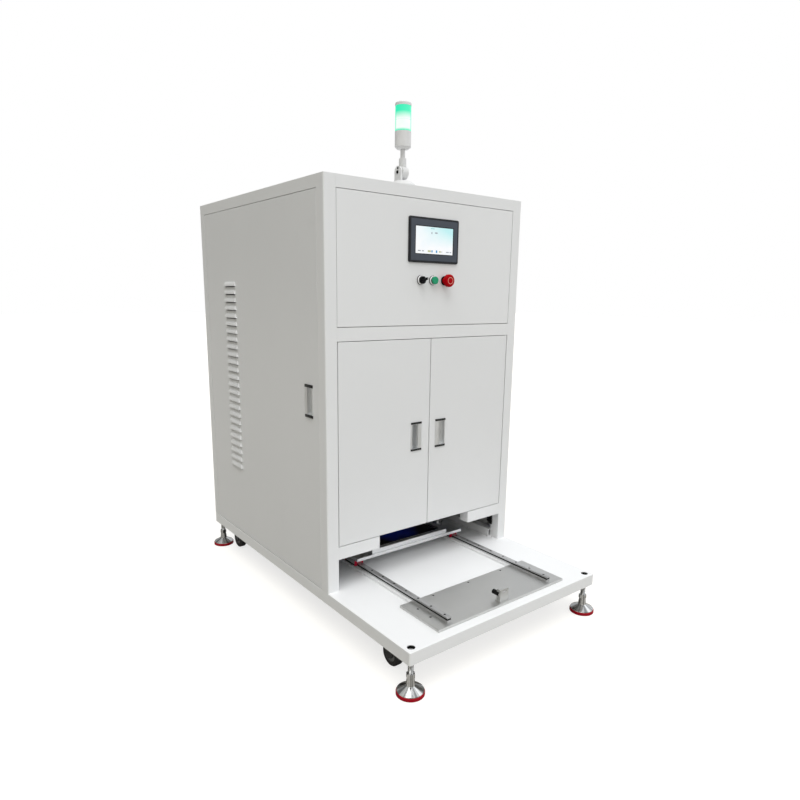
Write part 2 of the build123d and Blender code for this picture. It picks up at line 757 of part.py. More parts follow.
with BuildPart() as block_seals:
    for sx in (-1, 1):
        for y in block_starts:
            saddle(sx * rail_x, y - seal_length, seal_length, seal_inset)
            saddle(sx * rail_x, y + block_length, seal_length, seal_inset)
save(block_seals.part, "block_seals")

with BuildPart() as cross_bars:
    for y in (bar_front, bar_front + block_spacing):
        slab((-bar_half, y, block_high), (bar_half, y + bar_depth, block_high + bar_height))
    chamfer(cross_bars.faces().filter_by(Axis.Z).sort_by(Axis.Z)[-2:].edges(), bar_edge)
save(cross_bars.part, "cross_bars")

tray_low = block_high + bar_height
tray_top = tray_low + tray_height
tray_rear = tray_front + tray_length
with BuildPart() as board_tray:
    slab((-tray_half, tray_front, tray_low), (tray_half, tray_rear, tray_top))
    fillet(board_tray.edges().filter_by(Axis.Z), tray_corner)
    slab((-tray_half + tray_rim, tray_front + tray_rim, tray_low + tray_floor),
         (tray_half - tray_rim, tray_rear - tray_rim, tray_top), Mode.SUBTRACT)
    chamfer(board_tray.faces().sort_by(Axis.Z)[-1].edges(), bar_edge)
save(board_tray.part, "board_tray")

# ---------------------------------------------------------------- heated hood
hood_half = 186
hood_front = bridge_y - 184
hood_rear = bridge_y + 184
hood_low = stub_high + 10
hood_high = hood_low + 207
hood_sheet = 1.5
lining = 24
shaft_radius = 5
hood_ear_out = 300
hood_ear_half = 20
hood_ear_height = 40
hood_ear_low = hood_low + 37
column_x = 275
column_radius = 10
column_bore = 10.5
yoke_half = 80
yoke_top = hood_high + 140
yoke_width = 40
yoke_sheet = 6
hood_corner = 3
motor_radius = 45
motor_height = 100
motor_edge = 6
fin_count = 16
fin_size = (6, 2, 76)
shaft_reach = 25  # how far the shaft runs up into the motor
shaft_bore_depth = 33
fan_z = hood_high - 50
heater_z = hood_low + 127
heater_radius = 5
heater_pitch = 50
heater_count = 6
lining_out = hood_half - hood_sheet
lining_in = lining_out - lining
lining_top = hood_high - hood_sheet

with BuildPart() as hood_shell:
    slab((-hood_half, hood_front, hood_low), (hood_half, hood_rear, hood_high))
    fillet(hood_shell.edges().filter_by(Axis.Z), hood_corner)
    slab((-lining_out, hood_front + hood_sheet, hood_low),
         (lining_out, hood_rear - hood_sheet, lining_top), Mode.SUBTRACT)
    for sx in (-1, 1):
        x_low, x_high = mirrored(sx, hood_half, hood_ear_out)
        slab((x_low, bridge_y - hood_ear_half, hood_ear_low),
             (x_high, bridge_y + hood_ear_half, hood_ear_low + hood_ear_height))
        bar((sx * column_x, bridge_y, hood_ear_low), column_bore, hood_ear_height * 3,
            mode=Mode.SUBTRACT)
        x_low, x_high = mirrored(sx, yoke_half - yoke_sheet, yoke_half)
        slab((x_low, bridge_y - yoke_width / 2, hood_high),
             (x_high, bridge_y + yoke_width / 2, yoke_top))
    slab((-yoke_half, bridge_y - yoke_width / 2, yoke_top - yoke_sheet),
         (yoke_half, bridge_y + yoke_width / 2, yoke_top))
    bar((0, bridge_y, hood_high), 2 * shaft_radius, 4 * hood_sheet, mode=Mode.SUBTRACT)
save(hood_shell.part, "hood_shell")

with BuildPart() as chamber_lining:
    slab((-lining_out, hood_front + hood_sheet, hood_low),
         (lining_out, hood_rear - hood_sheet, lining_top))
    slab((-lining_in, hood_front + hood_sheet + lining, hood_low),
         (lining_in, hood_rear - hood_sheet - lining, lining_top - lining), Mode.SUBTRACT)
    bar((0, bridge_y, lining_top), 2 * shaft_radius, 3 * lining, mode=Mode.SUBTRACT)
save(chamber_lining.part, "chamber_lining")

with BuildPart() as heater_tubes:
    for i in range(heater_count):
        y = bridge_y + (i - (heater_count - 1) / 2) * heater_pitch
        bar((0, y, heater_z), heater_radius, 2 * lining_in, "X")
save(heater_tubes.part, "heater_tubes")

with BuildPart() as fan_motor:
    bar((0, bridge_y, hood_high + motor_height / 2), motor_radius, motor_height)
    fillet(fan_motor.faces().sort_by(Axis.Z)[-1].edges(), motor_edge)
    with PolarLocations(motor_radius, fin_count):
        with Locations((0, bridge_y, hood_high + motor_height / 2)):
            Box(*fin_size)
    bar((0, bridge_y, hood_high), shaft_radius + clearance, 2 * shaft_bore_depth, mode=Mode.SUBTRACT)
save(fan_motor.part, "fan_motor")

blade_count = 10
fan_radius = 70
fan_hub_radius = 14
fan_hub_height = 16
fan_disc_sheet = 2
blade_size = (36, 1.5, 15)
blade_turn = 30
blade_ring = fan_radius - 20
with BuildPart() as fan_wheel:
    shaft_top = hood_high + shaft_reach
    bar((0, bridge_y, (fan_z + shaft_top) / 2), shaft_radius, shaft_top - fan_z)
    bar((0, bridge_y, fan_z + fan_hub_height / 2), fan_hub_radius, fan_hub_height)
    bar((0, bridge_y, fan_z + fan_hub_height - fan_disc_sheet / 2), fan_radius, fan_disc_sheet)
    with Locations((0, bridge_y, fan_z + (blade_size[2] - fan_disc_sheet / 2) / 2)):
        with PolarLocations(blade_ring, blade_count):
            with Locations(Rotation(0, 0, blade_turn)):
                Box(*blade_size)
save(fan_wheel.part, "fan_wheel")

# ---------------------------------------------------------------- hood guides and lift cylinder
cylinder_low = side_mid_high
cylinder_length = 230
cylinder_radius = 32
cylinder_wall = 6
rod_radius = 10
piston_height = 20
piston_clear = 4  # between the raised piston and the end of the cylinder
flange_sheet = 12

with BuildPart() as guide_columns:
    for sx in (-1, 1):
        bar((sx * column_x, bridge_y, (deck_top + side_mid_low) / 2), column_radius,
            side_mid_low - deck_top)
        for z in (deck_top + flange_sheet / 2, side_mid_low - flange_sheet / 2):
            bar((sx * column_x, bridge_y, z), 2 * column_radius, flange_sheet)
save(guide_columns.part, "guide_columns")

with BuildPart() as lift_cylinder:
    bar((0, bridge_y, cylinder_low + cylinder_length / 2), cylinder_radius, cylinder_length)
    inner_length = cylinder_length - 2 * cylinder_wall
    bar((0, bridge_y, cylinder_low + cylinder_length / 2), cylinder_radius - cylinder_wall,
        inner_length, mode=Mode.SUBTRACT)
    bar((0, bridge_y, cylinder_low), rod_radius + clearance, 4 * cylinder_wall, mode=Mode.SUBTRACT)
save(lift_cylinder.part, "lift_cylinder")

with BuildPart() as lift_rod:
    rod_top = cylinder_low + cylinder_length - cylinder_wall - piston_clear
    bar((0, bridge_y, (yoke_top + rod_top) / 2), rod_radius, rod_top - yoke_top)
    bar((0, bridge_y, rod_top - piston_height / 2), cylinder_radius - cylinder_wall - clearance,
        piston_height)
    bar((0, bridge_y, yoke_top + flange_sheet / 2), 2 * rod_radius, flange_sheet)
save(lift_rod.part, "lift_rod")

# ---------------------------------------------------------------- electrical plate
carrier_sheet = 2
carrier_front = upright_y - carrier_sheet
carrier_low = mid_rail_high + 6
carrier_high = top_rail_low - 10
din_rail_zs = (carrier_low + 70, carrier_low + 190, carrier_low + 310)
din_half_length = 300
din_width = 35
din_depth = 7.5
module_depth = 58
module_gap = 4
left_end = -270
module_rows = (  # first x, count, width, height, rail height
    (left_end, 8, 60, 90, din_rail_zs[0]),
    (left_end, 5, 46, 80, din_rail_zs[1]),
    (20, 3, 72, 92, din_rail_zs[1]),
    (left_end, 4, 90, 92, din_rail_zs[2]),
    (140, 2, 60, 84, din_rail_zs[2]),
)
rail_face = carrier_front - din_depth

with BuildPart() as electrical_plate:
    slab((-side_rail_in, carrier_front, carrier_low), (side_rail_in, upright_y, carrier_high))
    for z in din_rail_zs:
        slab((-din_half_length, rail_face, z - din_width / 2),
             (din_half_length, carrier_front, z + din_width / 2))
save(electrical_plate.part, "electrical_plate")

with BuildPart() as electrical_modules:
    for x_start, count, width, height, z in module_rows:
        for i in range(count):
            x = x_start + i * (width + module_gap)
            slab((x, rail_face - module_depth, z - height / 2), (x + width, rail_face, z + height / 2))
save(electrical_modules.part, "electrical_modules")

# ---------------------------------------------------------------- folding signal tower
tower_x = -69
tower_y = cabinet_front + 75
foot_radius = 42
foot_rim = 9
foot_crown_radius = 26
foot_height = 21
fold_height = 45
knuckle_radius = 19
knuckle_left = 12  # reach of the knuckle either side of the pole's axis
knuckle_right = 10
ear_gap = 0.5
ear_width = 7
ear_half = 16
fold_pin_length = 16
fold_pin_radius = 4
collar_radius = 11.4
collar_high = 87
body_low = 114
body_taper = 6
body_step = 7
pole_socket = 2
lens_low = 164
lens_split = 196
lens_high = 236
lens_seam = 1.2
lens_seam_inset = 1.5
tower_height = 245.5
tower_radius = 25
cap_edge = 3
pole_radius = 7.2
fold_z = cabinet_top + fold_height
ear_in = knuckle_left + ear_gap


def tower_plane(height):
    """Plane across the tower's axis at a height above the top cover."""
    return Plane((tower_x, tower_y, cabinet_top + height))


def tower_disc(low, high, radius, mode=Mode.ADD):
    """Add or cut a round on the tower's axis between two heights above the top cover."""
    with BuildSketch(tower_plane(low)) as disc:
        Circle(radius)
    extrude(disc.sketch, amount=high - low, mode=mode)


with BuildPart() as tower_foot:
    with BuildSketch(Plane((tower_x, tower_y, cabinet_top), x_dir=(1, 0, 0), z_dir=(0, -1, 0))):
        with BuildLine():
            Polyline((0, 0), (foot_radius, 0), (foot_radius, foot_rim),
                     (foot_crown_radius, foot_height), (0, foot_height), close=True)
        make_face()
    revolve(axis=Axis((tower_x, tower_y, cabinet_top), (0, 0, 1)))
    ear_x = tower_x - ear_in - ear_width / 2
    ear_round_z = fold_z + knuckle_radius - ear_half
    bar((ear_x, tower_y, ear_round_z), ear_half, ear_width, "X")
    slab((ear_x - ear_width / 2, tower_y - ear_half, cabinet_top + foot_height / 2),
         (ear_x + ear_width / 2, tower_y + ear_half, ear_round_z))
    pin_x_low = tower_x - ear_in
    bar((pin_x_low + fold_pin_length / 2, tower_y, fold_z), fold_pin_radius, fold_pin_length, "X")
save(tower_foot.part, "tower_foot")

with BuildPart() as tower_pole:
    knuckle_middle = tower_x + (knuckle_right - knuckle_left) / 2
    bar((knuckle_middle, tower_y, fold_z), knuckle_radius, knuckle_left + knuckle_right, "X")
    tower_disc(fold_height, collar_high, collar_radius)
    tower_disc(collar_high, body_low + pole_socket, pole_radius)
    bar((pin_x_low, tower_y, fold_z), fold_pin_radius + pin_clearance, 2 * (fold_pin_length + ear_gap),
        "X", Mode.SUBTRACT)
save(tower_pole.part, "tower_pole")

with BuildPart() as tower_body:
    with BuildSketch(tower_plane(body_low)):
        Circle(tower_radius - body_step)
    with BuildSketch(tower_plane(body_low + body_taper)):
        Circle(tower_radius)
    loft()
    tower_disc(body_low + body_taper, lens_low, tower_radius)
    tower_disc(body_low, body_low + pole_socket, pole_radius, Mode.SUBTRACT)
save(tower_body.part, "tower_body")

with BuildPart() as tower_lens:
    lens_radius = tower_radius - 0.5
    tower_disc(lens_low, lens_split - lens_seam / 2, lens_radius)
    tower_disc(lens_split - lens_seam / 2, lens_split + lens_seam / 2, lens_radius - lens_seam_inset)
    tower_disc(lens_split + lens_seam / 2, lens_high, lens_radius)
save(tower_lens.part, "tower_lens")

with BuildPart() as tower_cap:
    tower_disc(lens_high, tower_height, tower_radius)
    fillet(tower_cap.faces().sort_by(Axis.Z)[-1].edges(), cap_edge)
save(tower_cap.part, "tower_cap")

# ---------------------------------------------------------------- levelling feet
pad_radius = 40
pad_height = 10
dome_radius = 38
dome_rim = 3
neck_low_radius = 13
neck_top_radius = 10.5
neck_low = pad_height + 17
neck_top = 49
jam_nut_height = 13
jam_nut_flats = 22
stem_top = frame_top - 3
stem_edge = 1.5
pad_edge = 1.5

for row, sy in (("front", -1), ("rear", 1)):
    for side, sx in sides.items():
        foot_point = (sx * foot_x, sy * foot_y)
        with BuildPart() as foot:
            with BuildSketch(Plane((*foot_point, 0), x_dir=(1, 0, 0), z_dir=(0, -1, 0))):
                with BuildLine():
                    rim = (dome_radius, pad_height)
                    edge = (dome_radius, pad_height + dome_rim)
                    shoulder = (neck_low_radius, neck_low)
                    neck = (neck_top_radius, neck_top)
                    Polyline((0, pad_height), rim, edge, shoulder, neck, (0, neck_top), close=True)
                make_face()
            revolve(axis=Axis((*foot_point, 0), (0, 0, 1)))
            with BuildSketch(Plane((*foot_point, neck_top))):
                RegularPolygon(jam_nut_flats / 2, 6, major_radius=False)
            extrude(amount=jam_nut_height)
            with BuildSketch(Plane((*foot_point, neck_top))):
                Circle(stem_radius)
            extrude(amount=stem_top - neck_top)
            chamfer(foot.faces().sort_by(Axis.Z)[-1].edges(), stem_edge)
        save(foot.part, f"foot_{row}_{side}")
        with BuildPart() as foot_pad:
            with BuildSketch(Plane((*foot_point, 0))):
                Circle(pad_radius)
            extrude(amount=pad_height)
            fillet(foot_pad.edges(), pad_edge)
        save(foot_pad.part, f"foot_pad_{row}_{side}")

# ---------------------------------------------------------------- swivel casters
wheel_radius = 36
wheel_width = 25
wheel_lift = 2  # the feet hold the wheels clear of the floor
trail = 24
cheek_sheet = 3
cheek_gap = 1
axle_radius = 4
head_radius = 32
head_height = 7
kingpin_length = 30
cheek_front = 18
cheek_rear = 30
cheek_lap = 2
axle_boss = 12
boss_shoulder = 6
hub_share = 0.62
hub_recess = 3
hub_radius = 13
wheel_edge = 5
head_top = deck_bottom - clearance
wheel_z = wheel_lift + wheel_radius

for row, y in (("front", caster_front_y), ("rear", caster_rear_y)):
    for side, sx in sides.items():
        x = sx * caster_x
        axle_y = y + trail
        with BuildPart() as fork:
            bar((x, y, head_top - head_height / 2), head_radius, head_height)
            bar((x, y, head_top + kingpin_length / 2), kingpin_radius, kingpin_length)
            for sc in (-1, 1):
                cheek_in = wheel_width / 2 + cheek_gap
                x_low, x_high = mirrored(sc, cheek_in, cheek_in + cheek_sheet)
                with BuildSketch(Plane((x + x_low, 0, 0), x_dir=(0, 1, 0), z_dir=(1, 0, 0))):
                    with BuildLine():
                        cheek_top = head_top - cheek_lap
                        shoulder_z = wheel_z - boss_shoulder
                        Polyline((y - cheek_front, cheek_top), (axle_y - axle_boss, shoulder_z),
                                 (axle_y, wheel_z - axle_boss), (axle_y + axle_boss, shoulder_z),
                                 (y + cheek_rear, cheek_top), close=True)
                    make_face()
                extrude(amount=cheek_sheet)
            bar((x, axle_y, wheel_z), axle_radius, wheel_width + 2 * (cheek_gap + cheek_sheet), "X")
        save(fork.part, f"caster_fork_{row}_{side}")
        with BuildPart() as wheel:
            bar((x, axle_y, wheel_z), wheel_radius, wheel_width, "X")
            fillet(wheel.edges(), wheel_edge)
            for sc in (-1, 1):
                bar((x + sc * wheel_width / 2, axle_y, wheel_z), wheel_radius * hub_share,
                    2 * hub_recess, "X", Mode.SUBTRACT)
                bar((x + sc * (wheel_width - hub_recess) / 2, axle_y, wheel_z), hub_radius,
                    hub_recess, "X")
            bar((x, axle_y, wheel_z), axle_radius + clearance, 2 * wheel_width, "X", Mode.SUBTRACT)
        save(wheel.part, f"caster_wheel_{row}_{side}")
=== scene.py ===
import json
import math

import bmesh
import bpy
from mathutils import Matrix, Vector


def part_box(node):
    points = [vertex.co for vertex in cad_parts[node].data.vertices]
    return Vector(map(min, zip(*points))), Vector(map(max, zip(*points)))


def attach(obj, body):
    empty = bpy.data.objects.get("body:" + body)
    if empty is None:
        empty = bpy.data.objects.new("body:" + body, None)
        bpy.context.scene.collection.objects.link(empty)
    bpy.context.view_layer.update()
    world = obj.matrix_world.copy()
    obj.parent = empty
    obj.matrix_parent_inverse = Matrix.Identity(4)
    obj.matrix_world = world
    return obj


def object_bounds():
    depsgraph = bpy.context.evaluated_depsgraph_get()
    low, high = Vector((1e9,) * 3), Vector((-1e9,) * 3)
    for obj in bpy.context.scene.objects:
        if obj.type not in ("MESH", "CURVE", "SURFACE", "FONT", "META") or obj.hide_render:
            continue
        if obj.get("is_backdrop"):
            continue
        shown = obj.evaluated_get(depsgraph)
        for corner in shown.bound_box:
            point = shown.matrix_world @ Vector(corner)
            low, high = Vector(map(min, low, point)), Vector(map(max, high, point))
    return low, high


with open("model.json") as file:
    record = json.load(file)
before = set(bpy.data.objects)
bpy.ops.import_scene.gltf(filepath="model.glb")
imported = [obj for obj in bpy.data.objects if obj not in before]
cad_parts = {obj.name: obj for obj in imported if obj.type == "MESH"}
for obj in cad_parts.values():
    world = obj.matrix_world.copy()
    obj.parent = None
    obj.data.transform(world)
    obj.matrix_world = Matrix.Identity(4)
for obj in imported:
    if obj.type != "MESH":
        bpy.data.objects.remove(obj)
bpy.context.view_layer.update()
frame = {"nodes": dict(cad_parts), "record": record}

SIDES = {"left": -1, "right": 1}
ROWS = {"front": -1, "rear": 1}
UP = (0, 0, 1)
LEFTWARD = (-1, 0, 0)
FRONTWARD = (0, -1, 0)
REARWARD = (0, 1, 0)

WHITE = (0.80, 0.805, 0.815)
PANEL_WHITE = (0.775, 0.78, 0.79)
# lighter copy of WHITE for the deck: painted light
LIT_DECK_WHITE = (0.83, 0.835, 0.845)
# blue of the reflection painted into the middle of the tray plate
PAINTED_REFLECTION_BLUE = (0.0, 0.03, 0.5)

EDGE_ROUND = 0.0006  # radius that the materials give to sharp metal edges
PLASTIC_ROUND = 0.0005
TURNED_SIDES = 48
HUB_SHARE = 0.62  # hub's part of a caster wheel's radius
THREAD_PITCH = 0.001
THREAD_SCALE = math.pi / 20 / THREAD_PITCH  # wave texture scale for one band per thread
THREAD_LOW = 0.063  # height at which the feet's threads begin
LENS_SPLIT = 0.44  # lit tier's part of the lens's height
GROOVE_LOW = 0.0055  # painted near-black band of shade for the ball groove in the rail's flank, above the rail's foot
GROOVE_HIGH = 0.0105
DECK_SHEET = 0.003
TRAY_RIM = 0.020
TRAY_FLOOR = 0.003


# ---------------------------------------------------------------- node helpers
class Shader:
    """A node material with a Principled shader, mapped by object coordinates."""

    def __init__(self, name):
        self.material = bpy.data.materials.new(name)
        self.material.use_nodes = True
        self.tree = self.material.node_tree
        self.tree.nodes.clear()
        output = self.tree.nodes.new("ShaderNodeOutputMaterial")
        self.bsdf = self.tree.nodes.new("ShaderNodeBsdfPrincipled")
        self.link(self.bsdf.outputs[0], output.inputs["Surface"])
        coords = self.tree.nodes.new("ShaderNodeTexCoord")
        self.coords = coords.outputs["Object"]

    def link(self, output, socket):
        self.tree.links.new(output, socket)

    def feed(self, socket, value):
        if isinstance(value, bpy.types.NodeSocket):
            self.link(value, socket)
        else:
            socket.default_value = value

    def set(self, **values):
        for name, value in values.items():
            self.feed(self.bsdf.inputs[name.replace("_", " ")], value)
        return self

    def stretched(self, scale):
        node = self.tree.nodes.new("ShaderNodeMapping")
        self.link(self.coords, node.inputs["Vector"])
        node.inputs["Scale"].default_value = scale
        return node.outputs[0]

    def noise(self, scale, detail=2.0, roughness=0.5, stretch=None):
        node = self.tree.nodes.new("ShaderNodeTexNoise")
        self.link(self.stretched(stretch) if stretch else self.coords, node.inputs["Vector"])
        node.inputs["Scale"].default_value = scale
        node.inputs["Detail"].default_value = detail
        node.inputs["Roughness"].default_value = roughness
        return node.outputs["Fac"]

    def math(self, operation, a, b=0.0, clamp=False):
        node = self.tree.nodes.new("ShaderNodeMath")
        node.operation = operation
        node.use_clamp = clamp
        self.feed(node.inputs[0], a)
        self.feed(node.inputs[1], b)
        return node.outputs[0]

    def ranged(self, value, low, high, to_low=0.0, to_high=1.0):
        node = self.tree.nodes.new("ShaderNodeMapRange")
        self.feed(node.inputs["Value"], value)
        for name, number in (("From Min", low), ("From Max", high),
                             ("To Min", to_low), ("To Max", to_high)):
            node.inputs[name].default_value = number
        return node.outputs["Result"]

    def mix(self, factor, a, b):
        node = self.tree.nodes.new("ShaderNodeMix")
        node.data_type = "RGBA"
        self.feed(node.inputs["Factor"], factor)
        self.feed(node.inputs[6], a if isinstance(a, bpy.types.NodeSocket) else (*a, 1.0))
        self.feed(node.inputs[7], b if isinstance(b, bpy.types.NodeSocket) else (*b, 1.0))
        return node.outputs[2]

    def axis(self, name):
        node = self.tree.nodes.new("ShaderNodeSeparateXYZ")
        self.link(self.coords, node.inputs[0])
        return node.outputs[name]

    def bump(self, height, strength, distance, normal=None):
        node = self.tree.nodes.new("ShaderNodeBump")
        node.inputs["Strength"].default_value = strength
        node.inputs["Distance"].default_value = distance
        self.link(height, node.inputs["Height"])
        if normal is not None:
            self.link(normal, node.inputs["Normal"])
        return node.outputs[0]

    def rounded(self, radius):
        node = self.tree.nodes.new("ShaderNodeBevel")
        node.samples = 4
        node.inputs["Radius"].default_value = radius
        return node.outputs[0]


def shade(color, factor):
    """The same colour, darker below a factor of 1 and lighter above it."""
    return tuple(min(1.0, channel * factor) for channel in color)


def powder_coat(name, color, rough=0.4):
    """Semi-gloss powder coat: orange peel, faint cloudiness, specks and scuffs."""
    s = Shader(name)
    cloud = s.ranged(s.noise(2.2, 3.0), 0.3, 0.7)
    speck = s.ranged(s.noise(1400.0, 1.0), 0.35, 0.65)
    base = s.mix(cloud, shade(color, 0.975), color)
    base = s.mix(s.math("MULTIPLY", speck, 0.12), base, shade(color, 0.93))
    scuff = s.ranged(s.noise(9.0, 6.0, 0.65), 0.62, 0.8, 0.0, 0.5)
    base = s.mix(scuff, base, shade(color, 0.94))
    peel = s.noise(620.0, 2.0, 0.4)
    wave = s.noise(60.0, 1.0, 0.4)
    height = s.math("ADD", peel, s.math("MULTIPLY", wave, 0.8))
    s.set(Base_Color=base, Roughness=s.ranged(s.noise(24.0, 4.0), 0.3, 0.7, rough - 0.03, rough + 0.06))
    s.set(Normal=s.bump(height, 0.1, 0.0004, s.rounded(PLASTIC_ROUND)))
    s.set(Specular_IOR_Level=0.45)
    return s.material


def brushed(name, color, rough, stretch, contrast):
    """Brushed or drawn metal, streaked along the axis that is stretched least."""
    s = Shader(name)
    streak = s.noise(1.0, 4.0, 0.65, stretch)
    broad = s.noise(6.0, 3.0, 0.5)
    base = s.mix(streak, shade(color, 1.0 - contrast), shade(color, 1.0 + contrast))
    base = s.mix(s.ranged(broad, 0.35, 0.65, 0.0, 0.35), base, shade(color, 0.86))
    s.set(Base_Color=base, Metallic=1.0, Roughness=s.ranged(streak, 0.3, 0.7, rough - 0.07, rough + 0.09))
    s.set(Normal=s.bump(streak, 0.12, 0.0002, s.rounded(EDGE_ROUND)))
    return s.material


def polished(name, color, rough, dull):
    """Plated metal with light fingerprints and fine scratches."""
    s = Shader(name)
    print_spots = s.ranged(s.noise(45.0, 5.0, 0.6), 0.45, 0.7)
    scratches = s.noise(1.0, 2.0, 0.5, (240.0, 900.0, 1500.0))
    base = s.mix(print_spots, color, shade(color, 0.88))
    s.set(Base_Color=base, Metallic=1.0)
    s.set(Roughness=s.ranged(print_spots, 0.0, 1.0, rough, rough + dull))
    s.set(Normal=s.bump(scratches, 0.04, 0.0001, s.rounded(PLASTIC_ROUND)))
    return s.material


def plastic(name, color, rough=0.4, grain=900.0, depth=0.15, coat=0.0, gloss=0.3):
    """Moulded plastic or rubber with a fine grain."""
    s = Shader(name)
    fine = s.noise(grain, 2.0, 0.5)
    wear = s.ranged(s.noise(30.0, 5.0, 0.6), 0.5, 0.75)
    faded = tuple(channel + (0.35 - channel) * 0.08 for channel in color)
    base = s.mix(s.math("MULTIPLY", wear, 0.5), color, faded)
    s.set(Base_Color=base, Roughness=s.ranged(wear, 0.0, 1.0, rough, rough + 0.12))
    s.set(Normal=s.bump(fine, depth, 0.0002, s.rounded(PLASTIC_ROUND)))
    s.set(Coat_Weight=coat, Coat_Roughness=0.15, Specular_IOR_Level=gloss)
    return s.material


def rail_steel(name, groove_low, groove_high):
    """Ground steel with fine lengthwise grinding and stains; the ball groove in its flank isn't cut but
    painted as a near-black band of shade.
    """
    s = Shader(name)
    streak = s.noise(1.0, 3.0, 0.6, (900.0, 10.0, 900.0))
    z = s.axis("Z")
    soft = 0.0004
    above = s.ranged(z, groove_low - soft, groove_low + soft)
    below = s.ranged(z, groove_high - soft, groove_high + soft, 1.0, 0.0)
    groove = s.math("MULTIPLY", above, below, True)
    stain = s.ranged(s.noise(1.0, 4.0, 0.6, (60.0, 7.0, 60.0)), 0.35, 0.7)
    ground = s.mix(streak, (0.52, 0.52, 0.525), (0.72, 0.72, 0.725))
    ground = s.mix(s.math("MULTIPLY", stain, 0.5), ground, (0.24, 0.24, 0.243))
    # painted shade: the groove band is near-black in the base colour
    s.set(Base_Color=s.mix(groove, ground, (0.006, 0.006, 0.006)), Metallic=0.85)
    s.set(Roughness=s.ranged(streak, 0.3, 0.7, 0.3, 0.46))
    s.set(Normal=s.bump(streak, 0.1, 0.0002, s.rounded(0.0004)))
    return s.material


def lens_green(name, low, split):
    """Translucent lens: the round lamp in its lower tier glows white on every side, and
    the thicker glass along the rims stays green."""
    s = Shader(name)
    z = s.axis("Z")
    lower = s.ranged(z, low + 0.001, low + 0.008)
    upper = s.ranged(z, split + 0.002, split + 0.024, 1.0, 0.0)
    facing = s.tree.nodes.new("ShaderNodeLayerWeight").outputs["Facing"]
    middle = s.ranged(facing, 0.45, 0.8, 1.0, 0.0)
    glow = s.math("MULTIPLY", s.math("MULTIPLY", lower, upper, True), middle, True)
    cloud = s.ranged(s.noise(40.0, 2.0), 0.3, 0.7, 0.9, 1.0)
    glow = s.math("MULTIPLY", glow, cloud, True)
    lit = s.mix(cloud, (0.02, 0.74, 0.4), (0.04, 0.88, 0.5))
    s.set(Base_Color=s.mix(cloud, (0.0, 0.03, 0.015), (0.01, 0.05, 0.03)), Roughness=0.2)
    s.set(Emission_Color=s.mix(glow, lit, (1.0, 1.0, 1.0)), Emission_Strength=0.97)
    ribs = s.tree.nodes.new("ShaderNodeTexWave")
    ribs.wave_type = "BANDS"
    ribs.bands_direction = "Z"
    ribs.inputs["Scale"].default_value = 160.0
    s.link(s.coords, ribs.inputs["Vector"])
    s.set(Normal=s.bump(ribs.outputs["Fac"], 0.15, 0.0003), Coat_Weight=0.15, Coat_Roughness=0.1)
    return s.material


def display(name, low, high):
    """Lit screen: white, turning pale cyan towards its upper right."""
    s = Shader(name)
    x, z = s.axis("X"), s.axis("Z")
    right = s.ranged(x, low[0], high[0])
    up = s.ranged(z, low[2] + 0.02, high[2] - 0.006)
    cyan = s.math("MULTIPLY", s.math("MULTIPLY", right, up), 1.25, True)
    soft = s.mix(s.ranged(s.noise(30.0, 2.0), 0.3, 0.7), (0.93, 0.97, 1.0), (1.0, 1.0, 1.0))
    picture = s.mix(cyan, soft, (0.5, 0.88, 0.9))
    s.set(Base_Color=(0.02, 0.02, 0.025, 1.0), Roughness=0.12)
    s.set(Emission_Color=picture, Emission_Strength=0.92)
    fine = s.noise(2400.0, 1.0)
    s.set(Normal=s.bump(fine, 0.02, 0.0001), Coat_Weight=0.6, Coat_Roughness=0.05)
    return s.material


def fibre_board(name, color):
    """Chalky ceramic fibre board with flecks and soft pits."""
    s = Shader(name)
    fleck = s.noise(240.0, 6.0, 0.7)
    base = s.mix(s.ranged(fleck, 0.35, 0.65), shade(color, 0.84), color)
    s.set(Base_Color=base, Roughness=0.9, Normal=s.bump(fleck, 0.5, 0.0008))
    return s.material


def quartz_tube(name, color):
    """Frosted quartz with the wound element showing through."""
    s = Shader(name)
    coil = s.noise(1.0, 2.0, 0.5, (700.0, 60.0, 60.0))
    s.set(Base_Color=s.mix(coil, shade(color, 0.75), color), Roughness=s.ranged(coil, 0.3, 0.7, 0.15, 0.35))
    s.set(Coat_Weight=0.6, Coat_Roughness=0.05)
    return s.material


def enamel(name, color, rough):
    """Dark stove enamel with blotches and a deep gloss."""
    s = Shader(name)
    blotch = s.ranged(s.noise(14.0, 5.0, 0.6), 0.35, 0.7)
    base = s.mix(blotch, color, shade(color, 0.55))
    s.set(Base_Color=base, Roughness=s.ranged(blotch, 0.0, 1.0, rough, rough + 0.15))
    s.set(Normal=s.bump(s.noise(420.0, 2.0), 0.12, 0.0003, s.rounded(EDGE_ROUND)))
    s.set(Coat_Weight=0.4, Coat_Roughness=0.2)
    return s.material


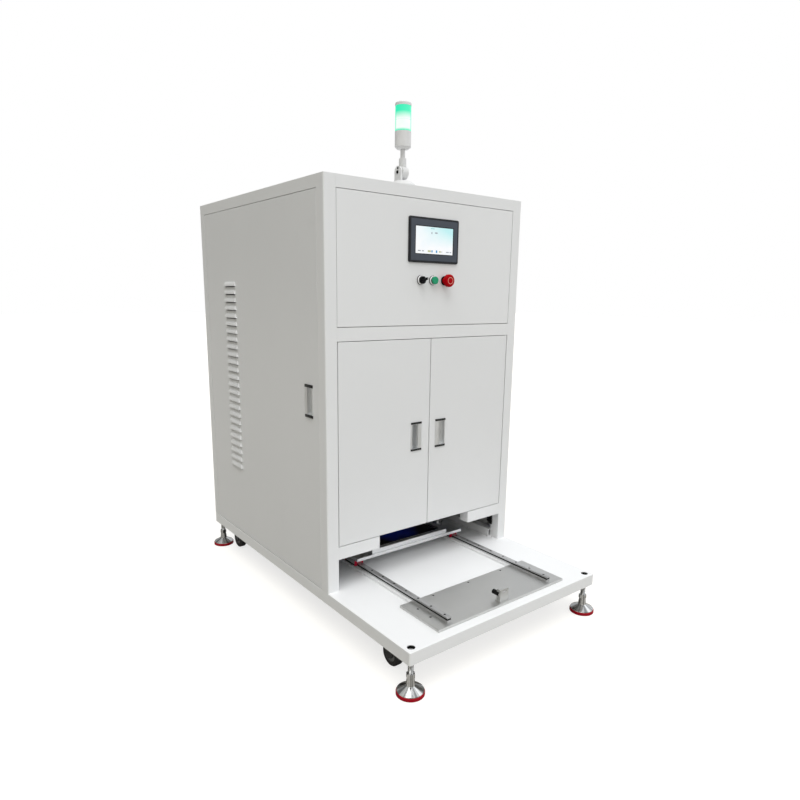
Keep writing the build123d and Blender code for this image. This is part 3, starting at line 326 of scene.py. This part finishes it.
def threaded(name, color, thread_low, foot_x, foot_y):
    """Chromed foot, threaded above thread_low; light and dark streaks that fan out from its stem are painted
    reflections in its colour.
    """
    s = Shader(name)
    wave = s.tree.nodes.new("ShaderNodeTexWave")
    wave.bands_direction = "Z"
    wave.inputs["Scale"].default_value = THREAD_SCALE
    s.link(s.coords, wave.inputs["Vector"])
    thread = s.math("MULTIPLY", wave.outputs["Fac"], s.ranged(s.axis("Z"), thread_low, thread_low + 0.0005))
    # painted reflections: light and dark streaks fanning out around the foot's stem, drawn in the base colour
    x = s.math("SUBTRACT", s.math("ABSOLUTE", s.axis("X")), foot_x)
    y = s.math("SUBTRACT", s.math("ABSOLUTE", s.axis("Y")), foot_y)
    fan = s.tree.nodes.new("ShaderNodeTexNoise")
    fan.noise_dimensions = "1D"
    fan.inputs["Scale"].default_value = 2.6
    fan.inputs["Detail"].default_value = 1.0
    s.link(s.math("ARCTAN2", y, x), fan.inputs["W"])
    streak = s.ranged(fan.outputs["Fac"], 0.4, 0.6)
    smear = s.ranged(s.noise(60.0, 4.0), 0.4, 0.7, 0.0, 0.3)
    chrome = s.mix(streak, shade(color, 0.3), color)
    s.set(Base_Color=s.mix(smear, chrome, shade(color, 0.55)), Metallic=1.0)
    s.set(Roughness=s.ranged(smear, 0.0, 0.3, 0.1, 0.26))
    s.set(Normal=s.bump(thread, 0.8, 0.001, s.rounded(EDGE_ROUND)))
    return s.material


def tyre_and_hub(name, hub_radius, centre):
    """Caster wheel: black tread outside hub_radius, grey moulded hub inside."""
    s = Shader(name)
    y = s.math("SUBTRACT", s.axis("Y"), centre[1])
    z = s.math("SUBTRACT", s.axis("Z"), centre[2])
    radius = s.math("SQRT", s.math("ADD", s.math("MULTIPLY", y, y), s.math("MULTIPLY", z, z)))
    soft = 0.0004
    outside = s.ranged(radius, hub_radius - soft, hub_radius + soft)
    grain = s.noise(700.0, 3.0)
    tread = s.mix(grain, (0.012, 0.012, 0.013), (0.03, 0.03, 0.032))
    hub = s.mix(grain, (0.16, 0.165, 0.17), (0.22, 0.225, 0.23))
    s.set(Base_Color=s.mix(outside, hub, tread), Roughness=s.ranged(outside, 0.0, 1.0, 0.45, 0.62))
    s.set(Normal=s.bump(grain, 0.2, 0.0003, s.rounded(EDGE_ROUND)))
    return s.material


# ---------------------------------------------------------------- materials for the CAD nodes
lens_low, lens_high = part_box("tower_lens")
screen_low, screen_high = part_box("hmi_screen")
rail_low, rail_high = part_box("guide_rails")
pad_low, pad_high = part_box("foot_pad_rear_right")
foot_x = (pad_low.x + pad_high.x) / 2
foot_y = (pad_low.y + pad_high.y) / 2
looks = {
    "frame_white": powder_coat("white_frame_coat", WHITE),
    "panel_white": powder_coat("white_panel_coat", PANEL_WHITE),
    "hmi_bezel": plastic("slate_plastic", (0.006, 0.007, 0.011), 0.42, 1200.0, 0.12),
    "hmi_display": display("lit_display", screen_low, screen_high),
    "operator_black": plastic("black_plastic", (0.002, 0.002, 0.003), 0.45, 1500.0, 0.08, 0.0, 0.1),
    "button_green": plastic("green_plastic", (0.0, 0.30, 0.14), 0.28, 1500.0, 0.06, 0.1),
    "estop_red": plastic("red_plastic", (0.40, 0.0, 0.004), 0.32, 1500.0, 0.06, 0.0, 0.05),
    "zinc_steel": brushed("zinc_steel", (0.62, 0.62, 0.61), 0.36, (500.0, 500.0, 24.0), 0.1),
    "handle_chrome": brushed("handle_metal", (0.86, 0.87, 0.88), 0.34, (700.0, 700.0, 9.0), 0.12),
    "tower_white": plastic("tower_plastic", (0.74, 0.74, 0.745), 0.34, 1000.0, 0.1, 0.1),
    "tower_pole_metal": plastic("tower_pole_finish", (0.7, 0.7, 0.705), 0.3, 1300.0, 0.08, 0.1),
    "tower_green": lens_green("green_lens", lens_low.z, lens_low.z + LENS_SPLIT * (lens_high.z - lens_low.z)),
    "rail_steel": rail_steel("ground_rail_steel", rail_low.z + GROOVE_LOW, rail_low.z + GROOVE_HIGH),
    "seal_red": plastic("red_seal_rubber", (0.42, 0.002, 0.03), 0.5, 900.0, 0.2, 0.0, 0.2),
    "stainless": brushed("brushed_stainless", (0.62, 0.62, 0.61), 0.42, (9.0, 800.0, 800.0), 0.1),
    "tray_aluminium": brushed("machined_aluminium", (0.8, 0.805, 0.81), 0.36, (12.0, 700.0, 700.0), 0.06),
    "hood_blue": enamel("blue_enamel", (0.012, 0.03, 0.22), 0.3),
    "lining_ceramic": fibre_board("fibre_board", (0.72, 0.69, 0.62)),
    "quartz": quartz_tube("quartz_tube", (0.85, 0.83, 0.8)),
    "motor_grey": enamel("grey_enamel", (0.2, 0.21, 0.225), 0.4),
    "hard_chrome": polished("hard_chrome", (0.7, 0.7, 0.71), 0.08, 0.12),
    "cylinder_aluminium": brushed("cylinder_aluminium", (0.66, 0.67, 0.68), 0.34, (700.0, 700.0, 10.0), 0.08),
    "fan_steel": brushed("pressed_steel", (0.42, 0.42, 0.43), 0.42, (60.0, 60.0, 500.0), 0.12),
    "foot_metal": threaded("foot_chrome_painted_streaks", (0.95, 0.955, 0.96), THREAD_LOW, foot_x, foot_y),
    "foot_rubber": plastic("red_foot_rubber", (0.34, 0.002, 0.012), 0.5, 600.0, 0.25, 0.0, 0.15),
    "caster_black": plastic("black_caster_paint", (0.018, 0.018, 0.02), 0.36, 500.0, 0.2, 0.2),
}
node_slots = {row["node"]: row["material_slot"] for row in frame["record"]["subparts"]}


def dress(node, material):
    """Gives a CAD node its one material."""
    node.data.materials.clear()
    node.data.materials.append(material)


for node_name, node_object in frame["nodes"].items():
    slot_name = node_slots[node_name]
    if slot_name in looks:
        dress(node_object, looks[slot_name])
# the deck pan takes a lighter copy of the frame's white: painted light on its top and front edge
dress(frame["nodes"]["deck_pan"], powder_coat("white_deck_coat_painted_light", LIT_DECK_WHITE))
for row in ROWS:
    for side in SIDES:
        node_name = f"caster_wheel_{row}_{side}"
        low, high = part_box(node_name)
        hub_edge = HUB_SHARE * (high.z - low.z) / 2
        finish = tyre_and_hub(f"caster_wheel_finish_{row}_{side}", hub_edge, (low + high) / 2)
        dress(frame["nodes"][node_name], finish)


# ---------------------------------------------------------------- mesh helpers
def new_piece(name, mesh_data, material, body, smooth=35.0):
    """A finished mesh as a piece that rides on a body."""
    mesh = bpy.data.meshes.new(name)
    mesh_data.normal_update()
    bmesh.ops.recalc_face_normals(mesh_data, faces=mesh_data.faces)
    mesh_data.to_mesh(mesh)
    mesh_data.free()
    piece = bpy.data.objects.new(name, mesh)
    bpy.context.scene.collection.objects.link(piece)
    mesh.materials.append(material)
    for face in mesh.polygons:
        face.use_smooth = True
    mesh.set_sharp_from_angle(angle=math.radians(smooth))
    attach(piece, body)
    return piece


def add_block(bm, low, high, bevel=0.0, segments=2):
    """A box with rounded edges between two corners."""
    made = bmesh.ops.create_cube(bm, size=1.0)
    size = [b - a for a, b in zip(low, high)]
    centre = [(b + a) / 2 for a, b in zip(low, high)]
    bmesh.ops.scale(bm, vec=size, verts=made["verts"])
    bmesh.ops.translate(bm, vec=centre, verts=made["verts"])
    if bevel:
        edges = list({edge for vert in made["verts"] for edge in vert.link_edges})
        bmesh.ops.bevel(bm, geom=edges, offset=bevel, segments=segments, affect="EDGES", profile=0.5)


def add_turned(bm, profile, place, sides=TURNED_SIDES):
    """A turned piece from (radius, height) pairs along the local Z axis: a solid if the first pair
    is on the axis, otherwise a ring that joins its last pair to its first."""
    rings = []
    for radius, height in profile:
        if radius == 0.0:
            rings.append([bm.verts.new(place @ Vector((0, 0, height)))])
            continue
        rings.append([bm.verts.new(place @ Vector((radius * math.cos(t), radius * math.sin(t), height)))
                      for t in (2 * math.pi * i / sides for i in range(sides))])
    is_ring = len(rings[0]) > 1
    following = rings[1:] + (rings[:1] if is_ring else [])
    for a, b in zip(rings, following):
        for i in range(sides):
            j = (i + 1) % sides
            if len(a) == 1:
                bm.faces.new((a[0], b[i], b[j]))
            elif len(b) == 1:
                bm.faces.new((a[i], a[j], b[0]))
            else:
                bm.faces.new((a[i], a[j], b[j], b[i]))


def facing(point, axis):
    """Place with its origin on a point and its local Z along an axis."""
    turn = Vector(UP).rotation_difference(Vector(axis)).to_matrix().to_4x4()
    return Matrix.Translation(Vector(point)) @ turn


# ---------------------------------------------------------------- operators: collars, inlays, pointer
OPERATOR_PITCH = 0.05  # between neighbouring operators on the control panel
COLLAR_PROFILE = [(0.0119, 0.0024), (0.0138, 0.0024), (0.0140, 0.0030), (0.0135, 0.0058),
                  (0.0128, 0.0066), (0.0119, 0.0066)]
SLEEVE_PROFILE = [(0.00965, 0.004), (0.00995, 0.004), (0.00995, 0.0098), (0.00965, 0.0098)]
INLAY_PROFILE = [(0.0091, 0.0), (0.0109, 0.0), (0.0109, 0.0012), (0.0100, 0.0015), (0.0091, 0.0012)]
INLAY_DEPTH = 0.0015
INLAY_SIDES = 64
POINTER_TURN = math.radians(22)
POINTER_REACH = 0.0125
POINTER_LOW = (-0.0022, -0.00035, -0.0006)
POINTER_HIGH = (0.0022, 0.0004, 0.0006)

start_low, start_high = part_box("start_button")
operator_z = (start_low.z + start_high.z) / 2
panel_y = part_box("control_panel")[0].y
start_spot = (0.0, panel_y, operator_z)
selector_spot = (-OPERATOR_PITCH, panel_y, operator_z)

collars = bmesh.new()
for spot in (selector_spot, start_spot):
    add_turned(collars, COLLAR_PROFILE, facing(spot, FRONTWARD))
# the chromed collars are near-white glossy plastic: their highlight is painted into the colour
collar_white_as_highlight = plastic("collar_painted_highlight", (0.95, 0.95, 0.955), 0.22, 1500.0, 0.04, 0.5, 0.6)
new_piece("operator_collars", collars, collar_white_as_highlight, "chassis")

inlay = bmesh.new()
inlay_spot = (OPERATOR_PITCH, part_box("estop_head")[0].y + INLAY_DEPTH, operator_z)
add_turned(inlay, INLAY_PROFILE, facing(inlay_spot, FRONTWARD), INLAY_SIDES)
pale_red = plastic("pale_red_ring", (0.82, 0.42, 0.33), 0.35, 1500.0, 0.05)
new_piece("estop_ring", inlay, pale_red, "estop")

pointer = bmesh.new()
knob_centre = Vector((-OPERATOR_PITCH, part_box("selector_knob")[0].y, operator_z))
direction = Vector((math.cos(POINTER_TURN), 0, math.sin(POINTER_TURN)))
tip = knob_centre + direction * POINTER_REACH
turn = Matrix.Rotation(-POINTER_TURN, 4, "Y")
add_block(pointer, POINTER_LOW, POINTER_HIGH, 0.0002)
bmesh.ops.transform(pointer, matrix=Matrix.Translation(tip) @ turn, verts=pointer.verts)
white_pointer = plastic("white_pointer", (0.8, 0.8, 0.8), 0.4)
new_piece("selector_pointer", pointer, white_pointer, "selector")

sleeve = bmesh.new()
add_turned(sleeve, SLEEVE_PROFILE, facing(start_spot, FRONTWARD))
sleeve_black = plastic("black_sleeve", (0.01, 0.01, 0.011), 0.35, 1400.0, 0.08)
new_piece("start_sleeve", sleeve, sleeve_black, "start")

# ---------------------------------------------------------------- screen: bezel frame and generic icons
BEZEL_X, BEZEL_Z = 0.0955, 0.0615  # half sizes of the bezel face
OPENING_X, OPENING_Z = 0.0795, 0.043  # half sizes of its opening
FACE_HALF = 0.0004
FACE_EDGE = 0.0002
ICON_BACK = 0.0001
ICON_FRONT = 0.00025
ICON_EDGE = 0.0001

bezel_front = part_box("hmi_housing")[0].y
screen_front = screen_low.y
mid_z = (screen_low.z + screen_high.z) / 2
bezel_face = bmesh.new()
for x_low, z_low, x_high, z_high in ((-BEZEL_X, OPENING_Z, BEZEL_X, BEZEL_Z),
                                     (-BEZEL_X, -BEZEL_Z, BEZEL_X, -OPENING_Z),
                                     (-BEZEL_X, -OPENING_Z, -OPENING_X, OPENING_Z),
                                     (OPENING_X, -OPENING_Z, BEZEL_X, OPENING_Z)):
    add_block(bezel_face, (x_low, bezel_front - FACE_HALF, mid_z + z_low),
              (x_high, bezel_front + FACE_HALF, mid_z + z_high), FACE_EDGE, 1)
slate_face = plastic("slate_face", (0.055, 0.066, 0.088), 0.42, 1300.0, 0.1)
new_piece("bezel_face", bezel_face, slate_face, "chassis")


def lit_icon(name, color):
    """A glowing tile of the screen's picture, slightly mottled."""
    s = Shader(name)
    s.set(Base_Color=(*shade(color, 0.3), 1.0), Roughness=0.2)
    s.set(Emission_Color=s.mix(s.noise(500.0), shade(color, 0.8), color), Emission_Strength=0.8)
    return s.material


def icon_tiles(name, color, tiles):
    """Tiles of one colour on the screen, each as centre x, centre z, width and height."""
    bm = bmesh.new()
    for x, z, width, height in tiles:
        add_block(bm, (x - width / 2, screen_front - ICON_FRONT, z - height / 2),
                  (x + width / 2, screen_front + ICON_BACK, z + height / 2), ICON_EDGE, 1)
    new_piece(name, bm, lit_icon(name + "_glow", color), "chassis")


row_z = screen_low.z + 0.008  # the row of keys along the bottom of the picture
mark_z = screen_high.z - 0.018
label_z = screen_high.z - 0.017
title_z = screen_high.z - 0.005
icon_tiles("icons_grey", (0.35, 0.38, 0.42),
           [(-0.062, row_z, 0.012, 0.0035), (-0.047, row_z, 0.008, 0.0035), (0.055, row_z, 0.012, 0.003),
            (0.068, row_z, 0.007, 0.003), (0.031, row_z, 0.003, 0.004), (-0.012, mark_z, 0.004, 0.006),
            (0.006, label_z, 0.011, 0.004)])
icon_tiles("icons_blue", (0.03, 0.28, 0.55), [(-0.010, row_z, 0.005, 0.007), (0.009, row_z, 0.006, 0.0075)])
icon_tiles("icons_olive", (0.5, 0.52, 0.3), [(-0.021, row_z, 0.013, 0.006), (0.023, row_z, 0.008, 0.005)])
icon_tiles("icons_teal", (0.25, 0.6, 0.6), [(-0.009, title_z, 0.016, 0.0022)])

# ---------------------------------------------------------------- painted shade: black blocks at the ends of the pull handles' recesses
DOOR_END_SHADE_HEIGHT = 0.0062
PANEL_END_SHADE_HEIGHT = 0.0085
END_SHADE_PAST_END = 0.0006
END_SHADE_PAST_SIDE = 0.0005
END_SHADE_PROUD = 0.0012
END_SHADE_SUNK = 0.0019
END_SHADE_EDGE = 0.0008


def end_shade_heights(low_z, high_z, height):
    """Lowest and highest level of the lower and the upper block of painted shade."""
    return (low_z - END_SHADE_PAST_END, low_z + height), (high_z - height, high_z + END_SHADE_PAST_END)


# black blocks at the handles' ends paint the shade inside the recess ends; taller on the side panels, where
# more of that shade shows
handle_end_shade = plastic("handle_end_painted_shade", (0.01, 0.01, 0.011), 0.35, 1400.0, 0.1, 0.15)
for side, outward in SIDES.items():
    low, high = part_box(f"{side}_door_handle")
    end_shades = bmesh.new()
    for z_low, z_high in end_shade_heights(low.z, high.z, DOOR_END_SHADE_HEIGHT):
        add_block(end_shades, (low.x - END_SHADE_PAST_SIDE, low.y - END_SHADE_PROUD, z_low),
                  (high.x + END_SHADE_PAST_SIDE, low.y + END_SHADE_SUNK, z_high), END_SHADE_EDGE)
    new_piece(f"{side}_door_handle_end_shade", end_shades, handle_end_shade, f"{side}_door")
    low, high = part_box(f"{side}_panel_handle")
    face = low.x if side == "left" else high.x
    near_x, far_x = sorted((face - outward * END_SHADE_SUNK, face + outward * END_SHADE_PROUD))
    end_shades = bmesh.new()
    for z_low, z_high in end_shade_heights(low.z, high.z, PANEL_END_SHADE_HEIGHT):
        add_block(end_shades, (near_x, low.y - END_SHADE_PAST_SIDE, z_low),
                  (far_x, high.y + END_SHADE_PAST_SIDE, z_high), END_SHADE_EDGE)
    new_piece(f"{side}_panel_handle_end_shade", end_shades, handle_end_shade, f"{side}_side_panel")

# ---------------------------------------------------------------- bolts in the rails and the landing plate
BOLT_SIDES = 24
BOLT_SHARP = 25.0  # degrees: sharper edges of a bolt stay unsmoothed
BOLT_RADIUS = 0.0036
RAIL_HALF = 0.0075
RAIL_HOLES = 15
RAIL_END = 0.02
RAIL_PITCH = 0.06
RAIL_BOLT_DEPTH = 0.0052
RAIL_BOLT_HEIGHT = 0.0047
PLATE_BOLT_DEPTH = 0.0038
PLATE_BOLT_HEIGHT = 0.0032
PLATE_REAR_XS = (-0.15, 0.0, 0.15)
PLATE_REAR_INSET = 0.012
PLATE_SIDE_X = 0.243
PLATE_SIDE_OFFSETS = (0.070, 0.128)


def screw_head(bm, point, radius, height, axis=UP):
    """A screw with a rounded rim and a round socket in its head."""
    profile = [(0.0, height * 0.45), (radius * 0.5, height * 0.45), (radius * 0.55, height),
               (radius * 0.9, height), (radius, height * 0.85), (radius, 0.0), (0.0, 0.0)]
    add_turned(bm, profile, facing(point, axis), BOLT_SIDES)


black_oxide = plastic("black_oxide", (0.003, 0.003, 0.0032), 0.5, 1200.0, 0.1, 0.0, 0.1)
rail_x = rail_high.x - RAIL_HALF
bolts = bmesh.new()
for sign in SIDES.values():
    for i in range(RAIL_HOLES):
        spot = (sign * rail_x, rail_low.y + RAIL_END + i * RAIL_PITCH, rail_high.z - RAIL_BOLT_DEPTH)
        screw_head(bolts, spot, BOLT_RADIUS, RAIL_BOLT_HEIGHT)
new_piece("rail_bolts", bolts, black_oxide, "chassis", BOLT_SHARP)

plate_low, plate_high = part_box("landing_plate")
plate_spots = [(x, plate_high.y - PLATE_REAR_INSET) for x in PLATE_REAR_XS]
plate_spots += [(sign * PLATE_SIDE_X, plate_low.y + offset)
                for sign in SIDES.values() for offset in PLATE_SIDE_OFFSETS]
bolts = bmesh.new()
for x, y in plate_spots:
    screw_head(bolts, (x, y, plate_high.z - PLATE_BOLT_DEPTH), BOLT_RADIUS, PLATE_BOLT_HEIGHT)
stainless_bolt = polished("stainless_bolt", (0.2, 0.2, 0.2), 0.3, 0.15)
new_piece("plate_bolts", bolts, stainless_bolt, "chassis", BOLT_SHARP)

# ---------------------------------------------------------------- dark plate in the tray, with a painted blue reflection in its middle
PLATE_GAP = 0.0015
PLATE_SHEET = 0.0022
REFLECTION_REACH = (0.12, 0.16)  # half sizes of the painted blue reflection in the middle, along X and Y


def plate_with_painted_reflection(name):
    """Dark oiled steel with a blue reflection painted into its colour in the middle."""
    s = Shader(name)
    x = s.math("DIVIDE", s.axis("X"), REFLECTION_REACH[0])
    y = s.math("DIVIDE", s.axis("Y"), REFLECTION_REACH[1])
    away = s.math("SQRT", s.math("ADD", s.math("MULTIPLY", x, x), s.math("MULTIPLY", y, y)))
    away = s.math("ADD", away, s.ranged(s.noise(18.0, 4.0, 0.6), 0.3, 0.7, -0.12, 0.12))
    # painted reflection: the middle of the plate turns blue in its base colour
    blue = s.ranged(away, 0.1, 1.0, 1.0, 0.0)
    streak = s.noise(1.0, 3.0, 0.6, (8.0, 300.0, 300.0))
    dark = s.mix(streak, (0.003, 0.003, 0.004), (0.010, 0.010, 0.011))
    s.set(Base_Color=s.mix(blue, dark, PAINTED_REFLECTION_BLUE), Roughness=s.ranged(streak, 0.3, 0.7, 0.34, 0.5))
    s.set(Normal=s.bump(streak, 0.1, 0.0002, s.rounded(PLASTIC_ROUND)), Specular_IOR_Level=0.15)
    return s.material


tray_low, tray_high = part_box("board_tray")
plate_inset = TRAY_RIM + PLATE_GAP
plate_z = tray_low.z + TRAY_FLOOR
plate = bmesh.new()
add_block(plate, (tray_low.x + plate_inset, tray_low.y + plate_inset, plate_z),
          (tray_high.x - plate_inset, tray_high.y - plate_inset, plate_z + PLATE_SHEET), 0.0006)
new_piece("tray_plate", plate, plate_with_painted_reflection("steel_with_painted_reflection"), "carriage")

# ---------------------------------------------------------------- tower: screws on the folding joint
EAR_FACE = 0.0195  # from the tower's axis to the outside of its ear
FOLD_BELOW_TOP = 0.019
SCREW_HEIGHT = 0.0024
JOINT_SCREWS = ((0.0, 0.001, 0.0046), (-0.002, 0.0125, 0.0028))  # offsets along Y and Z, radius

joint_low, joint_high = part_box("tower_foot")
ear_face = (joint_low.x + joint_high.x) / 2 - EAR_FACE
tower_y = (joint_low.y + joint_high.y) / 2
fold_z = joint_high.z - FOLD_BELOW_TOP
screws = bmesh.new()
for dy, dz, radius in JOINT_SCREWS:
    screw_head(screws, (ear_face, tower_y + dy, fold_z + dz), radius, SCREW_HEIGHT, LEFTWARD)
new_piece("tower_joint_screws", screws, black_oxide, "chassis", BOLT_SHARP)

# ---------------------------------------------------------------- painted shade in the deck's holes as black liners; bumper and latch
HOLE_SHADE_PROFILE = [(0.0090, -0.0135), (0.0113, -0.0135), (0.0113, 0.0014), (0.0106, 0.0014),
                (0.0104, -0.0125), (0.0090, -0.0125)]
BUMPER_PROFILE = [(0.0, 0.0), (0.0062, 0.0), (0.0072, 0.0010), (0.0072, 0.0285), (0.0064, 0.0291),
                  (0.0, 0.0291)]
SMALL_TURNED_SIDES = 40
BUMPER_X = -0.015
BUMPER_BEHIND_EDGE = 0.0121
BUMPER_ABOVE_PLATE = 0.025
LATCH_BODY = ((0.3540, -0.2250, 0.1900), (0.3599, -0.2060, 0.2340))
LATCH_MAGNET = ((0.3480, -0.2130, 0.2010), (0.3545, -0.2070, 0.2230))
LATCH_SCREWS = [(0.3541, -0.2160, z) for z in (0.1955, 0.2285)]
LATCH_SCREW_RADIUS = 0.0030
LATCH_SCREW_HEIGHT = 0.0022

# one black material for the rubber bumper and for the liners that paint shade into the deck's holes
black_rubber_and_hole_shade = plastic("black_rubber_and_hole_shade", (0.006, 0.006, 0.006), 0.55, 700.0, 0.2, 0.0, 0.1)
# black liners inside the holes in the deck: painted shade, since the holes are dark only from shade
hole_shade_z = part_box("deck_pan")[1].z - DECK_SHEET
hole_shade_liners = bmesh.new()
for x_sign in SIDES.values():
    for y_sign in ROWS.values():
        place = facing((x_sign * foot_x, y_sign * foot_y, hole_shade_z), UP)
        add_turned(hole_shade_liners, HOLE_SHADE_PROFILE, place, SMALL_TURNED_SIDES)
new_piece("deck_hole_shade_liners", hole_shade_liners, black_rubber_and_hole_shade, "chassis")

bumper = bmesh.new()
bumper_spot = (BUMPER_X, plate_low.y + BUMPER_BEHIND_EDGE, plate_high.z + BUMPER_ABOVE_PLATE)
add_turned(bumper, BUMPER_PROFILE, facing(bumper_spot, REARWARD), SMALL_TURNED_SIDES)
new_piece("stop_bumper", bumper, black_rubber_and_hole_shade, "chassis")

latch = bmesh.new()
add_block(latch, *LATCH_BODY, 0.0012)
add_block(latch, *LATCH_MAGNET, 0.0010)
for spot in LATCH_SCREWS:
    screw_head(latch, spot, LATCH_SCREW_RADIUS, LATCH_SCREW_HEIGHT, LEFTWARD)
new_piece("post_latch", latch, black_oxide, "chassis", BOLT_SHARP)

# ---------------------------------------------------------------- stage: a pale floor
FLOOR_HALF = 30.0
FLOOR_GLOW = 0.72  # seen by the camera alone, so that a pale floor doesn't light the object from below
FLOOR_TONES = (0.37, 0.355, 0.325), (0.39, 0.375, 0.345)

floor_mesh = bpy.data.meshes.new("floor")
floor_bm = bmesh.new()
bmesh.ops.create_grid(floor_bm, x_segments=1, y_segments=1, size=FLOOR_HALF)
floor_bm.to_mesh(floor_mesh)
floor_bm.free()
floor = bpy.data.objects.new("floor", floor_mesh)
bpy.context.scene.collection.objects.link(floor)
floor_look = Shader("pale_floor")
floor_look.set(Base_Color=floor_look.mix(floor_look.noise(3.0, 3.0), *FLOOR_TONES))
seen_directly = floor_look.tree.nodes.new("ShaderNodeLightPath").outputs["Is Camera Ray"]
floor_glow = floor_look.math("MULTIPLY", seen_directly, FLOOR_GLOW)
floor_look.set(Emission_Color=(1.0, 1.0, 1.0, 1.0), Emission_Strength=floor_glow)
floor_look.set(Roughness=0.85, Specular_IOR_Level=0.1)
floor_mesh.materials.append(floor_look.material)
floor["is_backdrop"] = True

# ---------------------------------------------------------------- light: a soft studio and an overhead sun
BRIGHTEST = (0.68, -0.66, 0.32)  # the studio is brightest at the front right
BRIGHTEST_STRENGTH = 1.21
COOL = (0.965, 0.985, 1.0, 1.0)
WARM = (1.0, 0.98, 0.82, 1.0)  # the light from the left
SUN_FROM = (-0.34, -0.26, 0.90)
SUN_POWER = 1.6
SUN_SPREAD = 45.0

world = bpy.data.worlds.new("studio")
bpy.context.scene.world = world
world.use_nodes = True
tree = world.node_tree
tree.nodes.clear()
sky_direction = tree.nodes.new("ShaderNodeTexCoord").outputs["Generated"]


def towards(direction):
    """How far a part of the studio lies in a direction, from -1 behind to 1 ahead."""
    dot = tree.nodes.new("ShaderNodeVectorMath")
    dot.operation = "DOT_PRODUCT"
    dot.inputs[1].default_value = direction
    tree.links.new(sky_direction, dot.inputs[0])
    return dot.outputs["Value"]


strength = tree.nodes.new("ShaderNodeMapRange")
strength.inputs["From Min"].default_value = -1.0
strength.inputs["From Max"].default_value = 1.0
strength.inputs["To Min"].default_value = 0.0
strength.inputs["To Max"].default_value = BRIGHTEST_STRENGTH
tree.links.new(towards(BRIGHTEST), strength.inputs["Value"])
tint = tree.nodes.new("ShaderNodeMix")
tint.data_type = "RGBA"
tint.inputs[6].default_value = COOL
tint.inputs[7].default_value = WARM
tree.links.new(towards(LEFTWARD), tint.inputs["Factor"])
light = tree.nodes.new("ShaderNodeBackground")
tree.links.new(strength.outputs["Result"], light.inputs["Strength"])
tree.links.new(tint.outputs[2], light.inputs["Color"])
backdrop = tree.nodes.new("ShaderNodeBackground")
backdrop.inputs["Color"].default_value = (1, 1, 1, 1)
backdrop.inputs["Strength"].default_value = 1.0
choice = tree.nodes.new("ShaderNodeMixShader")
path = tree.nodes.new("ShaderNodeLightPath")
tree.links.new(path.outputs["Is Camera Ray"], choice.inputs[0])
tree.links.new(light.outputs[0], choice.inputs[1])
tree.links.new(backdrop.outputs[0], choice.inputs[2])
world_output = tree.nodes.new("ShaderNodeOutputWorld")
tree.links.new(choice.outputs[0], world_output.inputs["Surface"])

sun_data = bpy.data.lights.new("overhead", "SUN")
sun_data.energy = SUN_POWER
sun_data.angle = math.radians(SUN_SPREAD)
sun = bpy.data.objects.new("overhead", sun_data)
bpy.context.scene.collection.objects.link(sun)
sun.rotation_euler = Vector(SUN_FROM).to_track_quat("Z", "Y").to_euler()

# ---------------------------------------------------------------- camera
CAMERA_PLACE = (-1.3200, -1.7883, 1.0545)
CAMERA_ANGLES = (37.969, 12.060, 0.760)  # degrees: yaw to the right, pitch down, roll
FOCAL_LENGTH = 27.744
SENSOR_WIDTH = 36.0
CAMERA_SHIFT = 0.0337

yaw, pitch, roll = (math.radians(angle) for angle in CAMERA_ANGLES)
forward = Vector((math.sin(yaw) * math.cos(pitch), math.cos(yaw) * math.cos(pitch), -math.sin(pitch)))
level_right = Vector((math.cos(yaw), -math.sin(yaw), 0.0))
level_up = level_right.cross(forward)
right = level_right * math.cos(roll) + level_up * math.sin(roll)
up = level_up * math.cos(roll) - level_right * math.sin(roll)
camera_data = bpy.data.cameras.new("camera")
camera_data.sensor_width = SENSOR_WIDTH
camera_data.lens = FOCAL_LENGTH
camera_data.shift_y = CAMERA_SHIFT
camera_data.clip_start = 0.05
camera_data.clip_end = 100.0
camera = bpy.data.objects.new("camera", camera_data)
bpy.context.scene.collection.objects.link(camera)
camera.matrix_world = Matrix.Translation(CAMERA_PLACE) @ Matrix((right, up, -forward)).transposed().to_4x4()
bpy.context.scene.camera = camera
bpy.context.scene.view_settings.view_transform = "Standard"

low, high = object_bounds()
